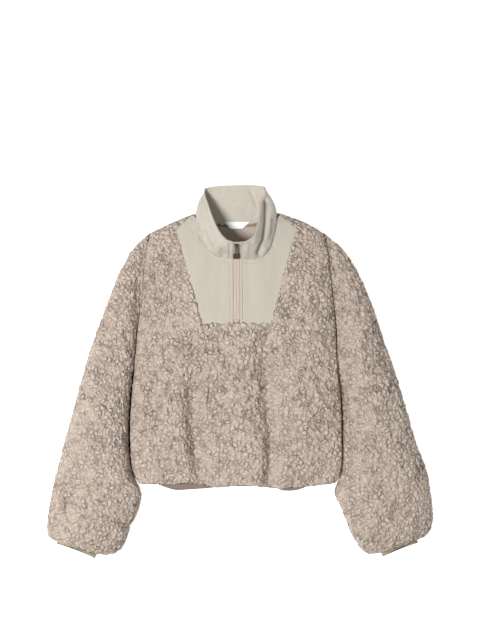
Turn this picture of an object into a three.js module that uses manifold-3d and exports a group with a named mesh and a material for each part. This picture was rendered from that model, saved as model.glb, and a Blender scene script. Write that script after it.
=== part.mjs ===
// Sherpa fleece quarter-zip pullover, laid flat on its back, in millimetres.
// X runs across the chest, Y towards the head, Z up from the surface it lies on.
// The origin is on that surface, under the middle of the chest.

import * as THREE from 'three';
import { mergeVertices } from 'three/addons/utils/BufferGeometryUtils.js';
import Module from 'manifold-3d';

// Cloth and general sizes
const PILE_WALL = 8;          // fleece from its smooth side to the tips of the pile
const WOVEN_WALL = 2;         // yoke cloth with its backing
const COLLAR_WALL = 2.4;      // collar, two layers
const TRIM_WALL = 1;          // facings and label
const SEAM_GAP = 0.3;
const YOKE_DROP = 3;          // the yoke lies this far below the tips of the pile
const SIDE_ROLL = 26;         // how far the front rolls down to a side edge
const SHOULDER_ROLL = 24;
const BACK_ROLL = 22;         // how far the back curls up to the same edges
const SHOULDER_HEIGHT = 18;   // height of the shoulder edge
const HEM_Y = -269;
const ARM_TOP_Y = 234;        // where the armhole meets the shoulder
const UNDERARM_Y = -20;
const CURL_REACH = 50;        // the back's curled sides end over this length below the arms

// Side edges of the body from hem to shoulder, with the height of the edge
const LEFT_EDGE = [
  { y: -269, x: -195, rise: 20 },
  { y: -248, x: -206, rise: 21 },
  { y: -180, x: -213, rise: 22 },
  { y: -100, x: -211, rise: 22 },
  { y: -20, x: -203, rise: 22 },
  { y: 50, x: -197, rise: 25 },
  { y: 110, x: -188, rise: 29 },
  { y: 160, x: -185, rise: 32 },
  { y: 200, x: -180, rise: 29 },
  { y: 234, x: -173, rise: 18 },
];
const RIGHT_EDGE = [
  { y: -269, x: 197, rise: 20 },
  { y: -248, x: 208, rise: 21 },
  { y: -180, x: 211, rise: 22 },
  { y: -100, x: 209, rise: 22 },
  { y: -20, x: 202, rise: 22 },
  { y: 60, x: 198, rise: 25 },
  { y: 136, x: 190, rise: 30 },
  { y: 176, x: 186, rise: 31 },
  { y: 206, x: 181, rise: 27 },
  { y: 234, x: 174, rise: 18 },
];
const HEM = [
  { x: -195, y: -268 },
  { x: -150, y: -269 },
  { x: -92, y: -268 },
  { x: -37, y: -275 },
  { x: 12, y: -270 },
  { x: 73, y: -277 },
  { x: 130, y: -274 },
  { x: 165, y: -271 },
  { x: 197, y: -268 },
];

// How far the back hem hangs out below the front hem
const BACK_HEM = [
  { x: -195, drop: 0 },
  { x: -163, drop: 0 },
  { x: -143, drop: 7 },
  { x: -124, drop: 13 },
  { x: -98, drop: 13 },
  { x: -70, drop: 8 },
  { x: -45, drop: 2 },
  { x: -20, drop: 0 },
  { x: 12, drop: 4 },
  { x: 45, drop: 1 },
  { x: 75, drop: 0 },
  { x: 95, drop: 6 },
  { x: 120, drop: 7 },
  { x: 148, drop: 0 },
  { x: 197, drop: 0 },
];
const SHOULDER = [
  { x: -173, y: 234 },
  { x: -150, y: 246 },
  { x: -119, y: 260 },
  { x: -82, y: 274 },
  { x: 0, y: 284 },
  { x: 82, y: 275 },
  { x: 129, y: 259 },
  { x: 152, y: 248 },
  { x: 174, y: 234 },
];

// Height of the front's crown from hem to shoulder
const CROWN = [
  { y: -280, z: 32 },
  { y: -200, z: 38 },
  { y: -100, z: 42 },
  { y: 0, z: 44 },
  { y: 110, z: 47 },
  { y: 177, z: 50 },
  { y: 210, z: 47 },
  { y: 243, z: 40 },
  { y: 290, z: 33 },
];
const CROWN_FALL = 7;         // the crown is lower by this much near the sides
const HALF_WIDTH = 210;

// Largest folds of the front, as soft troughs (depth down, minus is a ridge)
const FOLDS = [
  {
    name: 'left flute',
    rows: [
      { y: -290, x: -72, depth: 12, width: 15 },
      { y: -206, x: -87, depth: 14, width: 16 },
      { y: -140, x: -97, depth: 14, width: 16 },
      { y: -74, x: -97, depth: 9, width: 17 },
      { y: -14, x: -92, depth: 4, width: 18 },
      { y: 50, x: -88, depth: 0, width: 20 },
      { y: 290, x: -88, depth: 0, width: 20 },
    ],
  },
  {
    name: 'right flute',
    rows: [
      { y: -290, x: 52, depth: 11, width: 14 },
      { y: -194, x: 61, depth: 12, width: 15 },
      { y: -126, x: 53, depth: 10, width: 15 },
      { y: -54, x: 43, depth: 8, width: 15 },
      { y: 14, x: 41, depth: 5, width: 15 },
      { y: 58, x: 40, depth: 1, width: 16 },
      { y: 290, x: 40, depth: 0, width: 16 },
    ],
  },
  {
    name: 'chest hollow beside the yoke',
    rows: [
      { y: -290, x: -130, depth: 0, width: 24 },
      { y: 0, x: -128, depth: 0, width: 26 },
      { y: 94, x: -119, depth: 5, width: 26 },
      { y: 180, x: -135, depth: 3, width: 24 },
      { y: 290, x: -140, depth: 0, width: 24 },
    ],
  },
  {
    name: 'right chest crest',
    rows: [
      { y: -290, x: 140, depth: 0, width: 30 },
      { y: -160, x: 132, depth: -4, width: 30 },
      { y: 40, x: 130, depth: -3, width: 30 },
      { y: 290, x: 130, depth: 0, width: 30 },
    ],
  },
];

// Sleeves: rows from armhole to wrist. ix, iy is the inner edge, ox, oy the outer edge,
// crown the height of the sleeve there, edge the height of its side edges,
// shelf the part of its width beside the body that stays low
const SLEEVES = {
  left: [
    { at: 0.0, ix: -203, iy: -20, ox: -173, oy: 234, crown: 30, edge: 22, shelf: 0 },
    { at: 0.06, ix: -205, iy: -36, ox: -203, oy: 210, crown: 40, edge: 20, shelf: 0 },
    { at: 0.15, ix: -208, iy: -62, ox: -234, oy: 158, crown: 47, edge: 18, shelf: 0 },
    { at: 0.28, ix: -212.5, iy: -104, ox: -264, oy: 84, crown: 53, edge: 17, shelf: 0 },
    { at: 0.4, ix: -215, iy: -150, ox: -289, oy: 16, crown: 58, edge: 17, shelf: 0 },
    { at: 0.5, ix: -214.5, iy: -192, ox: -310, oy: -52, crown: 61, edge: 17, shelf: 0 },
    { at: 0.6, ix: -208, iy: -246, ox: -331, oy: -130, crown: 63, edge: 17, shelf: 0 },
    { at: 0.68, ix: -190, iy: -282, ox: -350, oy: -200, crown: 64, edge: 17, shelf: 0 },
    { at: 0.76, ix: -194, iy: -318, ox: -367, oy: -268, crown: 66, edge: 17, shelf: 0 },
    { at: 0.84, ix: -211, iy: -354, ox: -378, oy: -325, crown: 65, edge: 17, shelf: 0 },
    { at: 0.92, ix: -228, iy: -396, ox: -380, oy: -364, crown: 56, edge: 16, shelf: 0 },
    { at: 0.97, ix: -252, iy: -411, ox: -371, oy: -379, crown: 42, edge: 14, shelf: 0 },
    { at: 1.0, ix: -281, iy: -410, ox: -358, oy: -381, crown: 26, edge: 13, shelf: 0 },
  ],
  right: [
    { at: 0.0, ix: 202, iy: -20, ox: 174, oy: 234, crown: 30, edge: 22, shelf: 0 },
    { at: 0.06, ix: 203.5, iy: -34, ox: 208, oy: 208, crown: 40, edge: 20, shelf: 0.01 },
    { at: 0.15, ix: 207, iy: -64, ox: 242.5, oy: 159, crown: 46, edge: 18, shelf: 0.05 },
    { at: 0.28, ix: 210.5, iy: -106, ox: 272, oy: 91, crown: 52, edge: 17, shelf: 0.1 },
    { at: 0.4, ix: 212.5, iy: -152, ox: 296, oy: 21, crown: 56, edge: 17, shelf: 0.12 },
    { at: 0.5, ix: 212.5, iy: -194, ox: 319, oy: -45, crown: 59, edge: 17, shelf: 0.12 },
    { at: 0.6, ix: 209.5, iy: -246, ox: 342, oy: -121, crown: 61, edge: 17, shelf: 0.1 },
    { at: 0.68, ix: 196, iy: -281, ox: 360, oy: -183, crown: 62, edge: 17, shelf: 0.04 },
    { at: 0.76, ix: 202, iy: -304, ox: 382, oy: -243, crown: 64, edge: 17, shelf: 0 },
    { at: 0.84, ix: 216, iy: -338, ox: 392, oy: -304, crown: 63, edge: 17, shelf: 0 },
    { at: 0.92, ix: 234, iy: -379, ox: 392, oy: -352, crown: 54, edge: 16, shelf: 0 },
    { at: 0.97, ix: 262, iy: -409, ox: 379, oy: -373, crown: 40, edge: 14, shelf: 0 },
    { at: 1.0, ix: 290, iy: -407, ox: 361, oy: -379, crown: 26, edge: 13, shelf: 0 },
  ],
};
const SLEEVE_ROLL = 18;       // how far the sleeve's underside curls up to its edges
const SLEEVE_ROUND = 2.3;     // power of the sleeve's rounded crown
const CREASE_REACH = 0.06;    // part of the sleeve over which it leaves the armhole's crease
const SLEEVE_RING = 26;       // steps round a sleeve, even
const SLEEVE_STATIONS = [
  0, 0.03, 0.07, 0.12, 0.17, 0.23, 0.29, 0.35, 0.41, 0.47, 0.53, 0.58, 0.63, 0.67, 0.71,
  0.76, 0.81, 0.86, 0.9, 0.94, 0.975, 1,
];

// Creases across the sleeves: at is along the sleeve, across runs from inner to outer edge
const SLEEVE_DENTS = {
  left: [
    { at: 0.74, across: 0.72, length: 0.03, width: 0.16, depth: 6 },
    { at: 0.87, across: 0.4, length: 0.025, width: 0.2, depth: 5 },
  ],
  right: [
    { at: 0.56, across: 0.82, length: 0.03, width: 0.1, depth: 7 },
    { at: 0.74, across: 0.3, length: 0.025, width: 0.18, depth: 6 },
    { at: 0.85, across: 0.55, length: 0.025, width: 0.2, depth: 6 },
  ],
};
const DENT_LEAN = 0.12;       // the creases run a little along the sleeve

// Cuffs
const CUFF_LENGTH = 6;
const CUFF_TOP = 21;          // height of the cuff's upper edge
const CUFF_WALL = 2;

// Yoke outline: outer edges lean out towards the shoulders
const YOKE_BOTTOM_Y = 52;
const YOKE_TOP_Y = 240;
const YOKE_BOTTOM_HALF = 69;
const YOKE_TOP_HALF = 121;
const YOKE_SHOULDER = [
  { x: 121, y: 240 },
  { x: 106, y: 254 },
  { x: 96, y: 262 },
  { x: 87, y: 269 },
];
const ZIP_HALF = 6.5;         // half of the zip tape that shows

// Collar: foot on the neck seam and rim, going round from the left front edge
const COLLAR = [
  { at: 0.0, fx: -6.6, fy: 183, fz: 46, rx: -6.6, ry: 212, rz: 86, bulge: 0 },
  { at: 0.08, fx: -24, fy: 184, fz: 46, rx: -20, ry: 218, rz: 84, bulge: 2 },
  { at: 0.17, fx: -45, fy: 190, fz: 45, rx: -34, ry: 235, rz: 78, bulge: 5 },
  { at: 0.26, fx: -65, fy: 211, fz: 43, rx: -46, ry: 261, rz: 66, bulge: 7 },
  { at: 0.34, fx: -77, fy: 239, fz: 37, rx: -56, ry: 290, rz: 48, bulge: 8 },
  { at: 0.39, fx: -78.5, fy: 258, fz: 33, rx: -63, ry: 313, rz: 30, bulge: 7 },
  { at: 0.43, fx: -70, fy: 262, fz: 14, rx: -58, ry: 325, rz: 16, bulge: 2 },
  { at: 0.5, fx: 0, fy: 248, fz: 10, rx: 0, ry: 330, rz: 13, bulge: 0 },
  { at: 0.57, fx: 68, fy: 262, fz: 14, rx: 52, ry: 327, rz: 17, bulge: 2 },
  { at: 0.61, fx: 78, fy: 258, fz: 33, rx: 57, ry: 315, rz: 31, bulge: 8 },
  { at: 0.66, fx: 77, fy: 239, fz: 37, rx: 51, ry: 288, rz: 50, bulge: 9 },
  { at: 0.74, fx: 66, fy: 203, fz: 44, rx: 42, ry: 254, rz: 69, bulge: 8 },
  { at: 0.83, fx: 46, fy: 184, fz: 46, rx: 35, ry: 229, rz: 81, bulge: 5 },
  { at: 0.92, fx: 24, fy: 181, fz: 46, rx: 21, ry: 215, rz: 85, bulge: 2 },
  { at: 1.0, fx: 6.6, fy: 183, fz: 46, rx: 6.6, ry: 212, rz: 86, bulge: 0 },
];
const COLLAR_LIFT = 2.2;      // keeps the foot's lower corner clear of the yoke
const COLLAR_SHOULDER_AT = 0.61;
const NECK_MIDDLE_Y = 240;    // rough middle of the neck, which the collar's wall faces away from
const SLOPE_STEP = 0.01;      // step for finding a direction along the collar
const SEAM_BEND = 3;          // the zip tape bends from the yoke to the collar over this length

// Zip slider and pull, on the slope of the collar's front
const TAPE_WALL = 1.2;
const TAPE_SINK = 0.7;        // the tape lies this far below the cloth beside it
const SLIDER = { length: 10, width: 8, noseWidth: 4.8, shoulder: 5.5, height: 2.6, topGap: 3.5 };
const BRIDGE = { width: 3, length: 7, height: 4.2, bar: 1.2 };
const PULL = { length: 38, width: 7.5, thick: 1.4, bar: 0.7, armGap: 0.5, eyeGap: 1.6 };
const PULL_TIP = { length: 15, width: 12, thick: 2.6, corner: 1.5, shoulder: 2 };
const PULL_TILT = 0.035;      // rests with its tip near the cloth, in radians from the slope
const WELD = 0.4;             // joined metal parts run into each other by this much

// Neck label and facings
const LABEL = {
  z: 14.2, topY: 257, bottomY: 243, topLeft: -25, topRight: 28, bottomLeft: -13, bottomRight: 12,
};
const NECK_FACING = { bottomY: 205, topY: 243, half: 58, corner: 16 };
const HEM_FACING = { depth: 22, half: 158, fromHem: 1 };

// Cuts through the cloth: gaps round what lies in them, and the outline of the neck hole
const YOKE_CUT_GAP = 0.45;
const SLEEVE_CUT_GAP = 0.75;
const CUT = { below: 50, height: 200, farY: 320, curveSteps: 8 };
const NECK_HOLE = { half: 80, cornerY: 272, bendX: 60, bendY: 252, bottomY: 251 };
const NECK_CUT_HALF = 84;

// Steps of the grids
const FRONT_STEPS = { sideBends: 5, across: 32, shoulderBends: 4, along: 13 };
const BACK_STEPS = { sideBends: 5, across: 24, shoulderBends: 4, along: 12 };
const YOKE_STEPS = { across: 11, along: 7 };
const COLLAR_STEPS = { round: 42, up: 5 };
const TAPE_STEPS = 24;
const OUTLINE_STEPS = 50;
const HEM_FACING_STEPS = 28;

const FINISHES = {
  fleece: { color: 0xbfae9f, roughness: 0.95 },
  woven: { color: 0xcfc7b8, roughness: 0.7 },
  tape: { color: 0xd6c6b5, roughness: 0.8 },
  metal: { color: 0x5f564c, roughness: 0.4, metalness: 0.9 },
  tip: { color: 0x4a3a33, roughness: 0.5 },
  label: { color: 0xececea, roughness: 0.8 },
  facing: { color: 0x93826f, roughness: 0.95 },
  binding: { color: 0xa09683, roughness: 0.95 },
};

// Value of one column of a table at a place along it, on a smooth curve through its rows
function follow(rows, key, column, place) {
  const last = rows.length - 1;
  if (place <= rows[0][key]) return rows[0][column];
  if (place >= rows[last][key]) return rows[last][column];
  let i = 0;
  while (rows[i + 1][key] < place) i += 1;
  const slope = (a, b) => (rows[b][column] - rows[a][column]) / (rows[b][key] - rows[a][key]);
  const span = rows[i + 1][key] - rows[i][key];
  const here = slope(i, i + 1);
  const before = i > 0 ? (slope(i - 1, i) + here) / 2 : here;
  const after = i + 1 < last ? (slope(i + 1, i + 2) + here) / 2 : here;
  const t = (place - rows[i][key]) / span;
  const h00 = (1 + 2 * t) * (1 - t) ** 2;
  const h10 = t * (1 - t) ** 2;
  const h01 = t * t * (3 - 2 * t);
  const h11 = t * t * (t - 1);
  return h00 * rows[i][column] + h10 * span * before + h01 * rows[i + 1][column] + h11 * span * after;
}

const lerp = THREE.MathUtils.lerp;
const clamp = THREE.MathUtils.clamp;

// Quarter ellipse from 0 at an edge to 1 at a distance of roll
function rollOver(distance, roll) {
  const left = 1 - clamp(distance / roll, 0, 1);
  return Math.sqrt(1 - left * left);
}

// Places along an edge-to-edge line, close together on the rolled ends
function rolledSteps(length, startRoll, endRoll, bends, middle) {
  const steps = [];
  for (let k = 0; k < bends && startRoll > 0; k += 1) {
    steps.push((startRoll * (1 - Math.cos((k / bends) * Math.PI / 2))) / length);
  }
  for (let k = 0; k <= middle; k += 1) {
    steps.push(lerp(startRoll / length, 1 - endRoll / length, k / middle));
  }
  for (let k = bends - 1; k >= 0 && endRoll > 0; k -= 1) {
    steps.push(1 - (endRoll * (1 - Math.cos((k / bends) * Math.PI / 2))) / length);
  }
  return steps;
}

// Closed solid between two grids of points. round joins the last column to the first
function solidBetween(outer, inner, round) {
  const rowCount = outer.length;
  const columnCount = outer[0].length;
  const positions = [];
  for (const row of [...outer, ...inner]) {
    row.forEach((p) => positions.push(p.x, p.y, p.z));
  }
  const offset = rowCount * columnCount;
  const id = (r, c) => r * columnCount + (c % columnCount);
  const faces = [];
  const quad = (a, b, c, d) => faces.push(a, b, c, a, c, d);
  const spans = round ? columnCount : columnCount - 1;
  for (let r = 0; r < rowCount - 1; r += 1) {
    for (let c = 0; c < spans; c += 1) {
      quad(id(r, c), id(r, c + 1), id(r + 1, c + 1), id(r + 1, c));
      quad(offset + id(r, c), offset + id(r + 1, c), offset + id(r + 1, c + 1), offset + id(r, c + 1));
    }
  }
  for (let c = 0; c < spans; c += 1) {
    const top = rowCount - 1;
    quad(id(0, c + 1), id(0, c), offset + id(0, c), offset + id(0, c + 1));
    quad(id(top, c), id(top, c + 1), offset + id(top, c + 1), offset + id(top, c));
  }
  for (let r = 0; r < rowCount - 1 && !round; r += 1) {
    const end = columnCount - 1;
    quad(id(r, 0), id(r + 1, 0), offset + id(r + 1, 0), offset + id(r, 0));
    quad(id(r + 1, end), id(r, end), offset + id(r, end), offset + id(r + 1, end));
  }
  return faceOutwards(positions, faces);
}

// Geometry with its faces turned outwards
function faceOutwards(positions, faces) {
  const geometry = new THREE.BufferGeometry();
  geometry.setAttribute('position', new THREE.Float32BufferAttribute(positions, 3));
  const corner = (i) => new THREE.Vector3().fromArray(positions, faces[i] * 3);
  let volume = 0;
  for (let i = 0; i < faces.length; i += 3) {
    volume += corner(i).dot(corner(i + 1).cross(corner(i + 2)));
  }
  if (volume < 0) faces.reverse();
  geometry.setIndex(faces);
  return mergeVertices(geometry, 1e-4);
}

// Grid of points from a function of two places
function grid(rowPlaces, columnPlaces, pointAt) {
  return rowPlaces.map((v) => columnPlaces.map((u) => pointAt(u, v)));
}

const evenSteps = (count) => Array.from({ length: count + 1 }, (_, k) => k / count);

// Depth of all folds at a point of the front
function foldDepth(x, y) {
  let depth = 0;
  for (const fold of FOLDS) {
    const centre = follow(fold.rows, 'y', 'x', y);
    const width = follow(fold.rows, 'y', 'width', y);
    depth += follow(fold.rows, 'y', 'depth', y) * Math.exp(-(((x - centre) / width) ** 2));
  }
  return depth;
}

const backHemDrop = (x) => follow(BACK_HEM, 'x', 'drop', x);

// Point of the body in plan. The insets move its side edges and its shoulder inwards
function bodyPlan(u, v, sideInset, topInset, hemDrop = () => 0) {
  const edgeY = lerp(HEM_Y, ARM_TOP_Y, v);
  const nearX = lerp(follow(LEFT_EDGE, 'y', 'x', edgeY), follow(RIGHT_EDGE, 'y', 'x', edgeY), u);
  const hemY = follow(HEM, 'x', 'y', nearX) - hemDrop(nearX);
  const y = lerp(hemY, follow(SHOULDER, 'x', 'y', nearX) - topInset, v);
  const left = follow(LEFT_EDGE, 'y', 'x', y) + sideInset;
  const right = follow(RIGHT_EDGE, 'y', 'x', y) - sideInset;
  return { x: lerp(left, right, u), y, left, right };
}

// Height of the fleece front at a point, with its side edges and shoulders rolled down
function frontHeight(x, y, inset = 0, left = null, right = null) {
  const leftEdge = left ?? follow(LEFT_EDGE, 'y', 'x', y);
  const rightEdge = right ?? follow(RIGHT_EDGE, 'y', 'x', y);
  const rise = lerp(
    follow(LEFT_EDGE, 'y', 'rise', y),
    follow(RIGHT_EDGE, 'y', 'rise', y),
    clamp((x - leftEdge) / (rightEdge - leftEdge), 0, 1),
  );
  const crown = follow(CROWN, 'y', 'z', y) - CROWN_FALL * (x / HALF_WIDTH) ** 2 - foldDepth(x, y);
  const side = rollOver(x - leftEdge, SIDE_ROLL) * rollOver(rightEdge - x, SIDE_ROLL);
  const shoulderY = follow(SHOULDER, 'x', 'y', x) - inset;
  const overShoulder = rollOver(shoulderY - y, SHOULDER_ROLL);
  const sided = rise + (crown - inset - rise) * side;
  return SHOULDER_HEIGHT + (sided - SHOULDER_HEIGHT) * overShoulder;
}

function frontPoint(u, v, inset) {
  const plan = bodyPlan(u, v, inset, inset);
  return new THREE.Vector3(plan.x, plan.y, frontHeight(plan.x, plan.y, inset, plan.left, plan.right));
}

// The back lies flat and curls up at its sides below the arms and along the shoulders
function backPoint(u, v, depth) {
  const edgeY = lerp(HEM_Y, ARM_TOP_Y, v);
  const curl = clamp((UNDERARM_Y - edgeY) / CURL_REACH, 0, 1);
  const { x, y, left, right } = bodyPlan(u, v, depth * curl, depth, backHemDrop);
  const rise = follow(u < 0.5 ? LEFT_EDGE : RIGHT_EDGE, 'y', 'rise', y) - SEAM_GAP;
  const sideCurl = curl * (1 - rollOver(Math.min(x - left, right - x), BACK_ROLL));
  const topCurl = 1 - rollOver(follow(SHOULDER, 'x', 'y', x) - depth - y, BACK_ROLL);
  const z = lerp(lerp(depth, rise, sideCurl), SHOULDER_HEIGHT - SEAM_GAP, topCurl);
  return new THREE.Vector3(x, y, z);
}

// Outline of the yoke's opening in the front, with a gap all round
function yokeOpening(gap) {
  const shape = new THREE.Shape();
  const half = YOKE_BOTTOM_HALF + gap;
  shape.moveTo(-half, YOKE_BOTTOM_Y - gap);
  shape.lineTo(half, YOKE_BOTTOM_Y - gap);
  YOKE_SHOULDER.forEach((p) => shape.lineTo(p.x + gap, p.y + 2 * gap));
  shape.lineTo(NECK_CUT_HALF, CUT.farY);
  shape.lineTo(-NECK_CUT_HALF, CUT.farY);
  [...YOKE_SHOULDER].reverse().forEach((p) => shape.lineTo(-p.x - gap, p.y + 2 * gap));
  return shape;
}

// Outline of the neck hole in the back
function neckOpening() {
  const { half, cornerY, bendX, bendY, bottomY } = NECK_HOLE;
  const shape = new THREE.Shape();
  shape.moveTo(-half, CUT.farY);
  shape.lineTo(-half, cornerY);
  shape.quadraticCurveTo(-bendX, bendY, 0, bottomY);
  shape.quadraticCurveTo(bendX, bendY, half, cornerY);
  shape.lineTo(half, CUT.farY);
  return shape;
}

const wasm = await Module();
wasm.setup();

function toManifold(geometry) {
  const bare = geometry.clone();
  bare.deleteAttribute('normal');
  bare.deleteAttribute('uv');
  const merged = mergeVertices(bare, 1e-4);
  return new wasm.Manifold(new wasm.Mesh({
    numProp: 3,
    vertProperties: Float32Array.from(merged.attributes.position.array),
    triVerts: Uint32Array.from(merged.index.array),
  }));
}

function fromManifold(solid) {
  const mesh = solid.getMesh();
  const geometry = new THREE.BufferGeometry();
  geometry.setAttribute('position', new THREE.Float32BufferAttribute(mesh.vertProperties, 3));
  geometry.setIndex(Array.from(mesh.triVerts));
  return geometry;
}

// Cuts an upright hole of the given outline through a solid
function cutThrough(geometry, shape) {
  const settings = { depth: CUT.height, bevelEnabled: false, curveSegments: CUT.curveSteps };
  const prism = new THREE.ExtrudeGeometry(shape, settings);
  prism.translate(0, 0, -CUT.below);
  return fromManifold(toManifold(geometry).subtract(toManifold(prism)));
}

function frontBody() {
  const { sideBends, across, shoulderBends, along } = FRONT_STEPS;
  const columns = rolledSteps(2 * HALF_WIDTH, SIDE_ROLL, SIDE_ROLL, sideBends, across);
  const rows = rolledSteps(ARM_TOP_Y - HEM_Y, SHOULDER_ROLL, SHOULDER_ROLL, shoulderBends, along);
  const outer = grid(rows, columns, (u, v) => frontPoint(u, v, 0));
  const inner = grid(rows, columns, (u, v) => frontPoint(u, v, PILE_WALL));
  return cutThrough(solidBetween(outer, inner, false), yokeOpening(YOKE_CUT_GAP));
}

function backBody() {
  const { sideBends, across, shoulderBends, along } = BACK_STEPS;
  const columns = rolledSteps(2 * HALF_WIDTH, BACK_ROLL, BACK_ROLL, sideBends, across);
  const rows = rolledSteps(ARM_TOP_Y - HEM_Y, BACK_ROLL, BACK_ROLL, shoulderBends, along);
  const outer = grid(rows, columns, (u, v) => backPoint(u, v, 0));
  const inner = grid(rows, columns, (u, v) => backPoint(u, v, PILE_WALL));
  return cutThrough(solidBetween(outer, inner, false), neckOpening());
}

// Depth of the creases across a sleeve
function dentDepth(side, at, across) {
  let depth = 0;
  for (const dent of SLEEVE_DENTS[side]) {
    const along = (at - dent.at - DENT_LEAN * (across - dent.across)) / dent.length;
    depth += dent.depth * Math.exp(-(along ** 2) - ((across - dent.across) / dent.width) ** 2);
  }
  return depth;
}

// Point of a sleeve. turn goes round it: the upper half from the inner to the outer edge,
// then the underside back again. depth is how far the point lies inside the pile's tips
function sleevePoint(side, turn, at, depth) {
  const rows = SLEEVES[side];
  const read = (column) => follow(rows, 'at', column, at);
  const inner = new THREE.Vector2(read('ix'), read('iy'));
  const outer = new THREE.Vector2(read('ox'), read('oy'));
  const width = inner.distanceTo(outer);
  const outwards = outer.clone().sub(inner).normalize();
  const across = (1 - Math.cos(turn * 2 * Math.PI)) / 2;
  const along = lerp(depth, width - depth, across);
  const plan = inner.clone().addScaledVector(outwards, along);
  let edge = read('edge');
  let crown = read('crown');
  const freed = clamp(at / CREASE_REACH, 0, 1);
  if (freed < 1) {
    const table = side === 'left' ? LEFT_EDGE : RIGHT_EDGE;
    const away = (side === 'left' ? -1 : 1) * (SEAM_GAP + depth);
    const creaseY = lerp(UNDERARM_Y, ARM_TOP_Y, along / width);
    const crease = new THREE.Vector2(follow(table, 'y', 'x', creaseY) + away, creaseY);
    plan.lerpVectors(crease, plan.clone(), freed);
    edge = lerp(follow(table, 'y', 'rise', creaseY), edge, freed);
    crown = lerp(edge, crown, freed);
  }
  if (turn > 0.5) {
    const under = 1 - rollOver(Math.min(along - depth, width - depth - along), SLEEVE_ROLL);
    return new THREE.Vector3(plan.x, plan.y, lerp(depth, edge, under));
  }
  const shelf = read('shelf');
  const raised = clamp((across - shelf) / (1 - shelf), 0, 1);
  const round = (1 - Math.abs(2 * raised - 1) ** SLEEVE_ROUND) ** (1 / SLEEVE_ROUND);
  const height = crown - depth - dentDepth(side, at, across);
  return new THREE.Vector3(plan.x, plan.y, edge + Math.max(height - edge, 0) * round);
}

// Outline of the whole body in plan, moved out by a gap
function bodyOutline(gap) {
  const steps = evenSteps(OUTLINE_STEPS);
  const lowest = (x) => follow(HEM, 'x', 'y', x) - backHemDrop(x) - gap;
  const sideY = (t) => lerp(HEM_Y, ARM_TOP_Y, t);
  const left = steps.map((t) => [follow(LEFT_EDGE, 'y', 'x', sideY(t)) - gap, sideY(t)]);
  const right = steps.map((t) => [follow(RIGHT_EDGE, 'y', 'x', sideY(t)) + gap, sideY(t)]);
  const acrossX = (t) => lerp(LEFT_EDGE[0].x, RIGHT_EDGE[0].x, t);
  const hem = steps.map((t) => [acrossX(t), lowest(acrossX(t))]);
  const topX = (t) => lerp(SHOULDER[0].x, SHOULDER.at(-1).x, t);
  const shoulder = steps.map((t) => [topX(t), follow(SHOULDER, 'x', 'y', topX(t)) + gap]);
  const outline = [...hem, ...right, ...shoulder.reverse(), ...left.reverse()];
  return new THREE.Shape(outline.map(([x, y]) => new THREE.Vector2(x, y)));
}

function sleeve(side) {
  const ring = evenSteps(SLEEVE_RING).slice(0, -1);
  const outer = grid(SLEEVE_STATIONS, ring, (turn, at) => sleevePoint(side, turn, at, 0));
  const inner = grid(SLEEVE_STATIONS, ring, (turn, at) => sleevePoint(side, turn, at, PILE_WALL));
  return cutThrough(solidBetween(outer, inner, true), bodyOutline(SLEEVE_CUT_GAP));
}

// Ring of binding at a wrist, beyond the end of the sleeve
function cuff(side) {
  const end = SLEEVES[side].at(-1);
  const inner = new THREE.Vector2(end.ix, end.iy);
  const outer = new THREE.Vector2(end.ox, end.oy);
  const width = inner.distanceTo(outer);
  const outwards = outer.clone().sub(inner).normalize();
  const onwards = new THREE.Vector2(-outwards.y, outwards.x);
  if (onwards.y > 0) onwards.negate();
  const ring = evenSteps(SLEEVE_RING).slice(0, -1);
  const pointAt = (turn, v, depth) => {
    const across = (1 - Math.cos(turn * 2 * Math.PI)) / 2;
    const plan = inner.clone().addScaledVector(outwards, lerp(depth, width - depth, across));
    plan.addScaledVector(onwards, SEAM_GAP + v * CUFF_LENGTH);
    const round = Math.sqrt(1 - (2 * across - 1) ** 2);
    const middle = CUFF_TOP / 2;
    const half = middle - depth;
    const z = turn > 0.5 ? middle - half * round : middle + half * round;
    return new THREE.Vector3(plan.x, plan.y, z);
  };
  const outerGrid = grid([0, 1], ring, (turn, v) => pointAt(turn, v, 0));
  const innerGrid = grid([0, 1], ring, (turn, v) => pointAt(turn, v, CUFF_WALL));
  return solidBetween(outerGrid, innerGrid, true);
}

// Foot or rim of the collar at a place round it
function collarLine(at, end) {
  const read = (column) => follow(COLLAR, 'at', column, at);
  if (end === 'rim') return new THREE.Vector3(read('rx'), read('ry'), read('rz'));
  return new THREE.Vector3(read('fx'), read('fy'), read('fz') + COLLAR_LIFT);
}

// Middle of the collar's wall: from the foot to the rim, bulging outwards between them
function collarPoint(at, up) {
  const foot = collarLine(at, 'foot');
  const rim = collarLine(at, 'rim');
  const next = collarLine(Math.min(at + SLOPE_STEP, 1), 'foot');
  const along = next.sub(collarLine(Math.max(at - SLOPE_STEP, 0), 'foot'));
  const out = along.cross(rim.clone().sub(foot)).normalize();
  if (out.dot(new THREE.Vector3(foot.x, foot.y - NECK_MIDDLE_Y, 0)) < 0) out.negate();
  const bulge = follow(COLLAR, 'at', 'bulge', at) * Math.sin(Math.PI * up);
  return foot.lerp(rim, up).addScaledVector(out, bulge);
}

// Direction out of the collar's wall at a point
function collarOut(at, up) {
  const onwards = collarPoint(Math.min(at + SLOPE_STEP, 1), up);
  const round = onwards.sub(collarPoint(Math.max(at - SLOPE_STEP, 0), up));
  const upwards = collarPoint(at, Math.min(up + SLOPE_STEP, 1));
  const rise = upwards.sub(collarPoint(at, Math.max(up - SLOPE_STEP, 0)));
  return rise.cross(round).normalize();
}

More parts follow.
